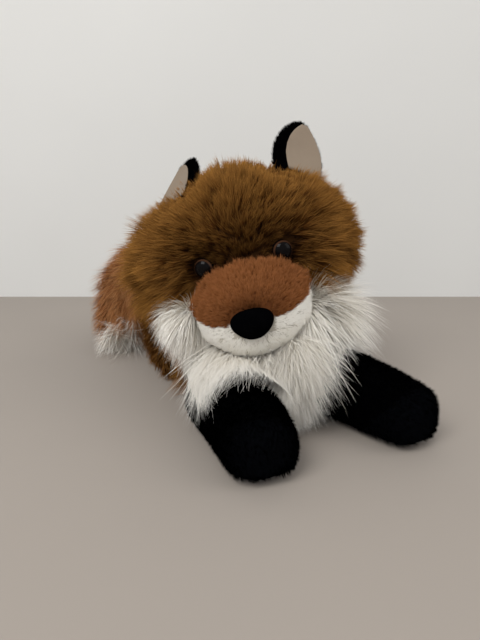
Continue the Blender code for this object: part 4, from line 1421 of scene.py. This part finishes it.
@dataclass
class Limb:
    """A leg that lies on the floor, in its own frame along -Y.

    It has one coat before the seam at the paw's end and one beyond it, each with a name, a
    finish, its strands and the solid that it stands for. Its padded form grows wider and
    higher towards the root, by widen and heighten.
    """

    kind: str
    side: Side
    place: Place
    coats: Sequence[tuple[str, FurFinish, Pelt, str]]
    lean: float
    split: tuple[float, float]
    voxel: float = 0.0035
    swell: float = 0.0030
    widen: float = 0.0
    heighten: float = 0.0
    backing: Colour = (0.0010, 0.0010, 0.0012)
    seed: int = 50
    seam_gap: float = 0.0003

    def past_seam(self, points: Array) -> Array:
        """How far points lie beyond the seam at the paw's end."""
        q = self.place.local(points)
        return leaning(self.split[0] - q[:, 1], q[:, 2] - self.split[1], self.lean)

    def comb_for(self, beyond: bool) -> Comb:
        """The comb of one side of the seam.

        Args:
            beyond: whether it is the paw's end.

        Returns:
            The comb.
        """
        sign, shade = (1, 0.5) if beyond else (-1, 0.0)

        def comb(points: Array, normals: Array) -> Combed:
            """Forwards, a little downwards, and none where the limb lies on the floor."""
            ahead = self.place.aim(np.broadcast_to(np.array((0.0, -1.0, -0.25)), points.shape))
            clear = (points[:, 2] > 0.004) | (normals[:, 2] > -0.6)
            return Combed(ahead, clear & (sign * self.past_seam(points) > self.seam_gap), shade=shade)

        return comb

    def build(self) -> None:
        """The limb's padded form and its coats on both sides of the seam."""
        word, body = self.side.word, f"{self.kind}_{self.side.word}"
        pad = Pad(f"{body}_pad", body, [f"{self.kind}_stuffing_{word}"], voxel=self.voxel, swell=self.swell)
        piece = pad.build()
        q = self.place.local(pad.points)
        rear = smooth_step(q[:, 1], -0.070, -0.015)
        q[:, 0] *= 1 + self.widen * rear
        q[:, 2] *= 1 + self.heighten * rear
        pad.put(piece, self.place.world(q))
        pad.measure(piece)
        pad.dress(piece, np.broadcast_to(np.array(self.backing), pad.points.shape))
        for i, (name, finish, pelt, node) in enumerate(self.coats):
            nodes = [f"{node}_{word}"]
            Coat(f"{name}_{word}", pad, finish, pelt, self.comb_for(i == 1), nodes, self.seed + i).build()


def limbs() -> list[Limb]:
    """Both front legs with their sole panels, and both folded hind legs with their paws.

    Returns:
        The front and the hind leg of the left side, then those of the right.
    """
    pile = Pelt(0.0042, 0.00036, 4.0, 30, 66, tuft=0.0010, tuft_size=6, steps=2, gather=0.25, soften=0.7, roll=30)
    haunch = Pelt(0.015, 0.00046, 2.2, 35, 75, droop=0.1, lock=0.25, soften=0.4)
    front = (
        ("front_leg_pile", BLACK_PILE, pile, "front_leg_cover"),
        ("front_sole_pile", BLACK_PILE, pile, "front_paw_sole"),
    )
    hind = (("hind_leg_fur", BACK_FUR, haunch, "hind_leg_cover"), ("hind_paw_pile", BLACK_PILE, pile, "hind_paw"))
    made = []
    for side, bar, heighten in zip(Side, FRONT_LEGS, (0.16, 0.0)):
        shoulder = Place(np.array([side.value * 0.033, -0.048, 0]), turn("Z", bar.heading))
        leg = Limb("front_leg", side, shoulder, front, 38, (-0.060, 0.020), widen=0.2, heighten=heighten)
        axes = turn("Z", side.value * 3)
        hip = Place(np.array([side.value * 0.027, 0.104, 0]) + axes @ np.array([side.value * 0.010, 0, 0]), axes)
        haunches = Limb(
            "hind_leg", side, hip, hind, 0, (-0.072, 0), 0.0045, 0.0008, backing=(0.03, 0.014, 0.006), seed=60
        )
        made += [leg, haunches]
    return made


@dataclass
class Body:
    """The lying body: ticked brown fur on back and flanks, white fur on the chest."""

    seam_y: float = -0.030
    seam_lean: float = 16.0
    leg_radius: float = 0.0185
    neck_radius: float = 0.058
    neck_foot: float = 0.034
    back: Pelt = Pelt(0.019, 0.00044, 2.35, 35, 72, droop=0.12, lock=0.3, soften=0.4, over=FRONT_LEGS)
    chest: Pelt = Pelt(
        0.024, 0.00036, 4.0, 40, 80, gather=0.3, droop=0.3, lock=0.12, soften=0.8, roll=35, steps=4, over=FRONT_LEGS
    )

    def behind_seam(self, points: Array) -> Array:
        """How far points lie behind the leaning chest seam."""
        return leaning(points[:, 1] - self.seam_y, points[:, 2], self.seam_lean)

    def open_coat(self, points: Array, normals: Array) -> Array:
        """Where no leg, neck or floor lies against the body.

        Args:
            points: places on the body.
            normals: its normals there.

        Returns:
            Whether each place is free.
        """
        clear = (points[:, 2] > 0.006) & (normals[:, 2] > -0.5)
        for leg in FRONT_LEGS:
            clear &= leg.distances(points)[1][:, 0] > self.leg_radius
        from_neck = np.hypot(points[:, 0], points[:, 1])
        return clear & ~((from_neck < self.neck_radius) & (points[:, 2] > self.neck_foot))

    def back_comb(self, points: Array, normals: Array) -> Combed:
        """Backwards over the back, down the flanks, and forwards beside the front legs.

        Args:
            points: the tufts' places.
            normals: the form's normals there.

        Returns:
            How the tufts lie.
        """
        x, y, z = points.T
        down = 0.9 * smooth_step(0.075 - z, 0.0, 0.05)
        flank = smooth_step(-y, -0.02, 0.02) * smooth_step(0.05 - z, 0.0, 0.02)
        way = stacked(0.25 * np.sign(x) * down, 1.0, -down) + flank[:, None] * stacked(np.sign(x), -0.9, 0.0)
        scale = 0.85 + 0.15 * smooth_step(y, -0.03, 0.05) + (0.6 - 0.25 * np.sign(x)) * flank
        return Combed(way, self.open_coat(points, normals) & (self.behind_seam(points) > 0), scale, 0.12)

    def chest_comb(self, points: Array, normals: Array) -> Combed:
        """Down and outwards on the chest.

        Args:
            points: the tufts' places.
            normals: the form's normals there.

        Returns:
            How the tufts lie.
        """
        scale = 1 - 0.60 * smooth_step(-points[:, 0], 0.022, 0.038)
        grows = self.open_coat(points, normals) & (self.behind_seam(points) <= 0)
        return Combed(stacked(points[:, 0] / 0.03, -1.0, -0.8), grows, scale)

    def build(self) -> None:
        """The body's padded form and its two coats."""
        pad = Pad("body_pad", "body", ["body_stuffing"], voxel=0.005, cap=0.002)
        piece = pad.build()
        pad.dress(piece, two_tone(self.behind_seam(pad.points), 0.001))
        Coat("back_fur", pad, BACK_FUR, self.back, self.back_comb, ["body_cover"], 71).build()
        Coat("chest_fur", pad, WHITE_FUR, self.chest, self.chest_comb, ["chest_panel"], 72).build()


@dataclass
class Neck:
    """The neck between body and head: a white ruff in front and brown fur on the nape."""

    nape: float = 0.022
    foot: float = 0.036
    inner: float = 0.038
    ruff: Pelt = Pelt(
        0.044, 0.00038, 4.0, 55, 82, gather=0.3, droop=0.24, lock=0.12, vary=0.4, steps=4, soften=0.8, roll=35,
        over=FRONT_LEGS,
    )
    mane: Pelt = Pelt(0.018, 0.00042, 2.4, 40, 78, droop=0.12, lock=0.25)

    def behind(self, points: Array) -> Array:
        """How far points lie behind the nape's seam, in the head's own turn."""
        return (points @ turn("Z", HEAD_TURN))[:, 1] - self.nape

    def comb(self, points: Array, normals: Array) -> Combed:
        """Outwards and down all round, from the neck's upper side only.

        Args:
            points: the tufts' places.
            normals: the form's normals there; not used.

        Returns:
            How the tufts lie.
        """
        outward = unit(points * np.array((1, 1, 0)))
        forward = smooth_step(-points[:, 1], 0.01, 0.04)[:, None]
        way = outward * (0.5 + 0.4 * forward) + np.array((0, 0, -1.0)) + forward * np.array((0, -0.4, 0))
        rim = (points[:, 2] > self.foot) & (np.hypot(points[:, 0], points[:, 1]) > self.inner)
        scale = (0.6 + 0.4 * forward[:, 0]) * (1 - 0.28 * smooth_step(-points[:, 0], 0.010, 0.040))
        return Combed(way, rim, scale)

    def ruff_comb(self, points: Array, normals: Array) -> Combed:
        """The comb in front of the nape's seam."""
        return self.comb(points, normals).within(self.behind(points) <= 0)

    def mane_comb(self, points: Array, normals: Array) -> Combed:
        """The comb behind the nape's seam."""
        return self.comb(points, normals).within(self.behind(points) > 0)

    def build(self) -> None:
        """The neck's padded form and its two coats."""
        nodes = ["neck_ruff", "nape_panel", "neck_stuffing"]
        pad = Pad("neck_pad", "neck", nodes, voxel=0.0045, swell=0.0, cap=0.0004, fill=0.7)
        piece = pad.build()
        pad.dress(piece, two_tone(self.behind(pad.points), 0.001))
        Coat("ruff_fur", pad, WHITE_FUR, self.ruff, self.ruff_comb, ["neck_ruff"], 81).build()
        Coat("nape_fur", pad, BACK_FUR, self.mane, self.mane_comb, ["nape_panel"], 82).build()


@dataclass
class Tail:
    """The bushy tail that curls round the right haunch, with a white tip."""

    length: float = 0.140
    root: Point = (-0.004, 0.109, 0.046)
    tip_from: float = 0.80
    line_steps: int = 80
    hair: Pelt = Pelt(0.027, 0.00038, 3.0, 44, 72, tuft=0.0022, gather=0.7, droop=0.14, lock=0.25, soften=0.4)
    wisps: Pelt = Pelt(0.038, 0.00032, 1.3, 44, 66, tuft=0.0024, gather=0.5, lock=0.5, steps=4, soften=0.6, vary=0.7)
    path: Sequence[Point] = (
        (0.000, -0.079, 0.000),
        (0.000, -0.020, 0.000),
        (-0.010, 0.086, 0.029),
        (-0.079, 0.214, 0.086),
        (-0.229, 0.293, 0.143),
        (-0.343, 0.264, 0.036),
        (-0.421, 0.157, -0.121),
        (-0.471, 0.043, -0.229),
        (-0.500, -0.029, -0.268),
    )

    def line(self) -> Array:
        """Places along the tail's path, ten between each two of its points.

        Returns:
            n x 3 places in the room.
        """
        rows = np.array(self.path) * self.length
        t = np.linspace(0, len(rows) - 1, self.line_steps + 1)
        return np.stack([np.interp(t, np.arange(len(rows)), rows[:, i]) for i in range(3)], -1) + np.array(self.root)

    def nearest(self, points: Array) -> Array:
        """The number of the place on the line that is nearest to each point."""
        return np.argmin(np.linalg.norm(points[:, None] - self.line()[None], axis=2), axis=1)

    def comb(self, points: Array, normals: Array, tip: bool) -> Combed:
        """Along the path towards the tip, and a little outwards.

        Args:
            points: the tufts' places.
            normals: the form's normals there.
            tip: whether it is the white tip's coat.

        Returns:
            How the tufts lie.
        """
        nearest = self.nearest(points)
        along = nearest / self.line_steps
        way = unit(np.gradient(self.line(), axis=0))[nearest]
        grows = ((points[:, 2] > 0.004) | (normals[:, 2] > -0.7)) & (along > 0.08)
        return Combed(way, grows & ((along >= self.tip_from) == tip), 0.6 + 0.4 * smooth_step(along, 0.1, 0.45), 0.1)

    def hair_comb(self, points: Array, normals: Array) -> Combed:
        """The comb of the rust hair, up to the tip."""
        return self.comb(points, normals, False)

    def tip_comb(self, points: Array, normals: Array) -> Combed:
        """The comb of the white tip, swept outwards."""
        combed = self.comb(points, normals, True)
        return replace(combed, way=combed.way + np.array((-0.7, -0.1, 0.1)), shade=0.0)

    def build(self) -> None:
        """The tail's padded form and its two coats."""
        pad = Pad("tail_pad", "tail", ["tail_stuffing"], voxel=0.004, cap=0.002)
        piece = pad.build()
        pad.dress(piece, np.broadcast_to(np.array((0.16, 0.05, 0.016)), pad.points.shape))
        Coat("tail_hair", pad, TAIL_HAIR, self.hair, self.hair_comb, ["tail_cover"], 91).build()
        Coat("tail_tip_hair", pad, WHITE_FUR, self.wisps, self.tip_comb, ["tail_tip"], 92).build()


@dataclass
class Studio:
    """The pale floor and wall, soft light, and the camera at the photograph's angle."""

    camera_at: Point = (-0.1279, -0.3029, 0.130)
    azimuth: float = -22.0
    pitch: float = -14.0
    lens: float = 27.06
    wall_away: float = 0.655
    reach: float = 3.0
    aim_at: Point = (0, 0, 0.06)
    sky: Colour = (0.92, 0.95, 1.0)
    sky_strength: float = 0.55
    lamps: Sequence[tuple[str, Point, float, float, Colour]] = (
        ("key", (-0.75, -0.55, 0.95), 0.7, 11.0, (1.0, 0.99, 0.97)),
        ("fill", (0.85, -0.75, 0.75), 0.9, 4.0, (1.0, 0.97, 0.93)),
    )

    def sheet(self, corners: Sequence[Array], finish: StageFinish, name: str) -> None:
        """A flat stage surface.

        Args:
            corners: its four corners.
            finish: its surface.
            name: its name.
        """
        piece = mesh_object(name, np.array(corners), np.array([[0, 1, 2, 3]]))
        piece.data.materials.append(finish.material())

    def lamp(self, name: str, place: Point, size: float, power: float, colour: Colour) -> None:
        """A square soft lamp that faces the fox.

        Args:
            name: its name.
            place: where it hangs.
            size: the length of its sides.
            power: its watts.
            colour: its light.
        """
        light = bpy.data.lights.new(name, "AREA")
        light.size, light.energy, light.color = size, power, colour
        lamp = bpy.data.objects.new(name, light)
        bpy.context.scene.collection.objects.link(lamp)
        lamp.location = place
        x, y, z = np.array(self.aim_at) - np.array(place)
        lamp.rotation_euler = (math.acos(-z / math.hypot(x, y, z)), 0, math.atan2(x, -y) + math.pi)

    def build(self) -> None:
        """Floor, wall, world, lamps and camera."""
        scene = bpy.context.scene
        ahead = turn("Z", self.azimuth)[:, 1]
        right, away = turn("Z", self.azimuth).T[:2] * self.reach
        floor = StageFinish("pale_floor", (0.36, 0.315, 0.275), (0.338, 0.297, 0.260))
        wall = StageFinish("pale_wall", (0.76, 0.755, 0.73), (0.72, 0.715, 0.69), one_sided=True)
        self.sheet([-right - away, right - away, right + away, away - right], floor, "floor")
        back = np.array(self.camera_at) * np.array((1, 1, 0)) + ahead * self.wall_away
        up = np.array([0, 0, self.reach])
        self.sheet([back - right, back + right, back + right + up, back - right + up], wall, "wall")
        scene.world = bpy.data.worlds.new("studio")
        scene.world.use_nodes = True
        sky = scene.world.node_tree.nodes["Background"].inputs
        sky["Color"].default_value = (*self.sky, 1)
        sky["Strength"].default_value = self.sky_strength
        for row in self.lamps:
            self.lamp(*row)
        data = bpy.data.cameras.new("camera")
        data.sensor_fit, data.sensor_height = "VERTICAL", 36
        data.lens, data.clip_start = self.lens, 0.01
        view = bpy.data.objects.new("camera", data)
        scene.collection.objects.link(view)
        view.location = self.camera_at
        view.rotation_euler = (math.radians(90 + self.pitch), 0, math.radians(self.azimuth))
        scene.camera = view
        scene.view_settings.view_transform = "Standard"


def finish_inner_nodes() -> None:
    """Gives the lock washers behind the eyes their moulded plastic."""
    for side in Side:
        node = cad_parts[f"eye_washer_{side.word}"]
        node.data.materials.clear()
        node.data.materials.append(WASHER.material())


def main() -> None:
    """Builds every sub-assembly in order."""
    logging.basicConfig(level=logging.INFO, format="%(message)s")
    for assembly in (Body(), Neck(), Head(), Muzzle(), Nose(), Eyes(), *ears(), *limbs(), Tail()):
        assembly.build()
    finish_inner_nodes()
    Studio().build()


if __name__ == "__main__":
    main()
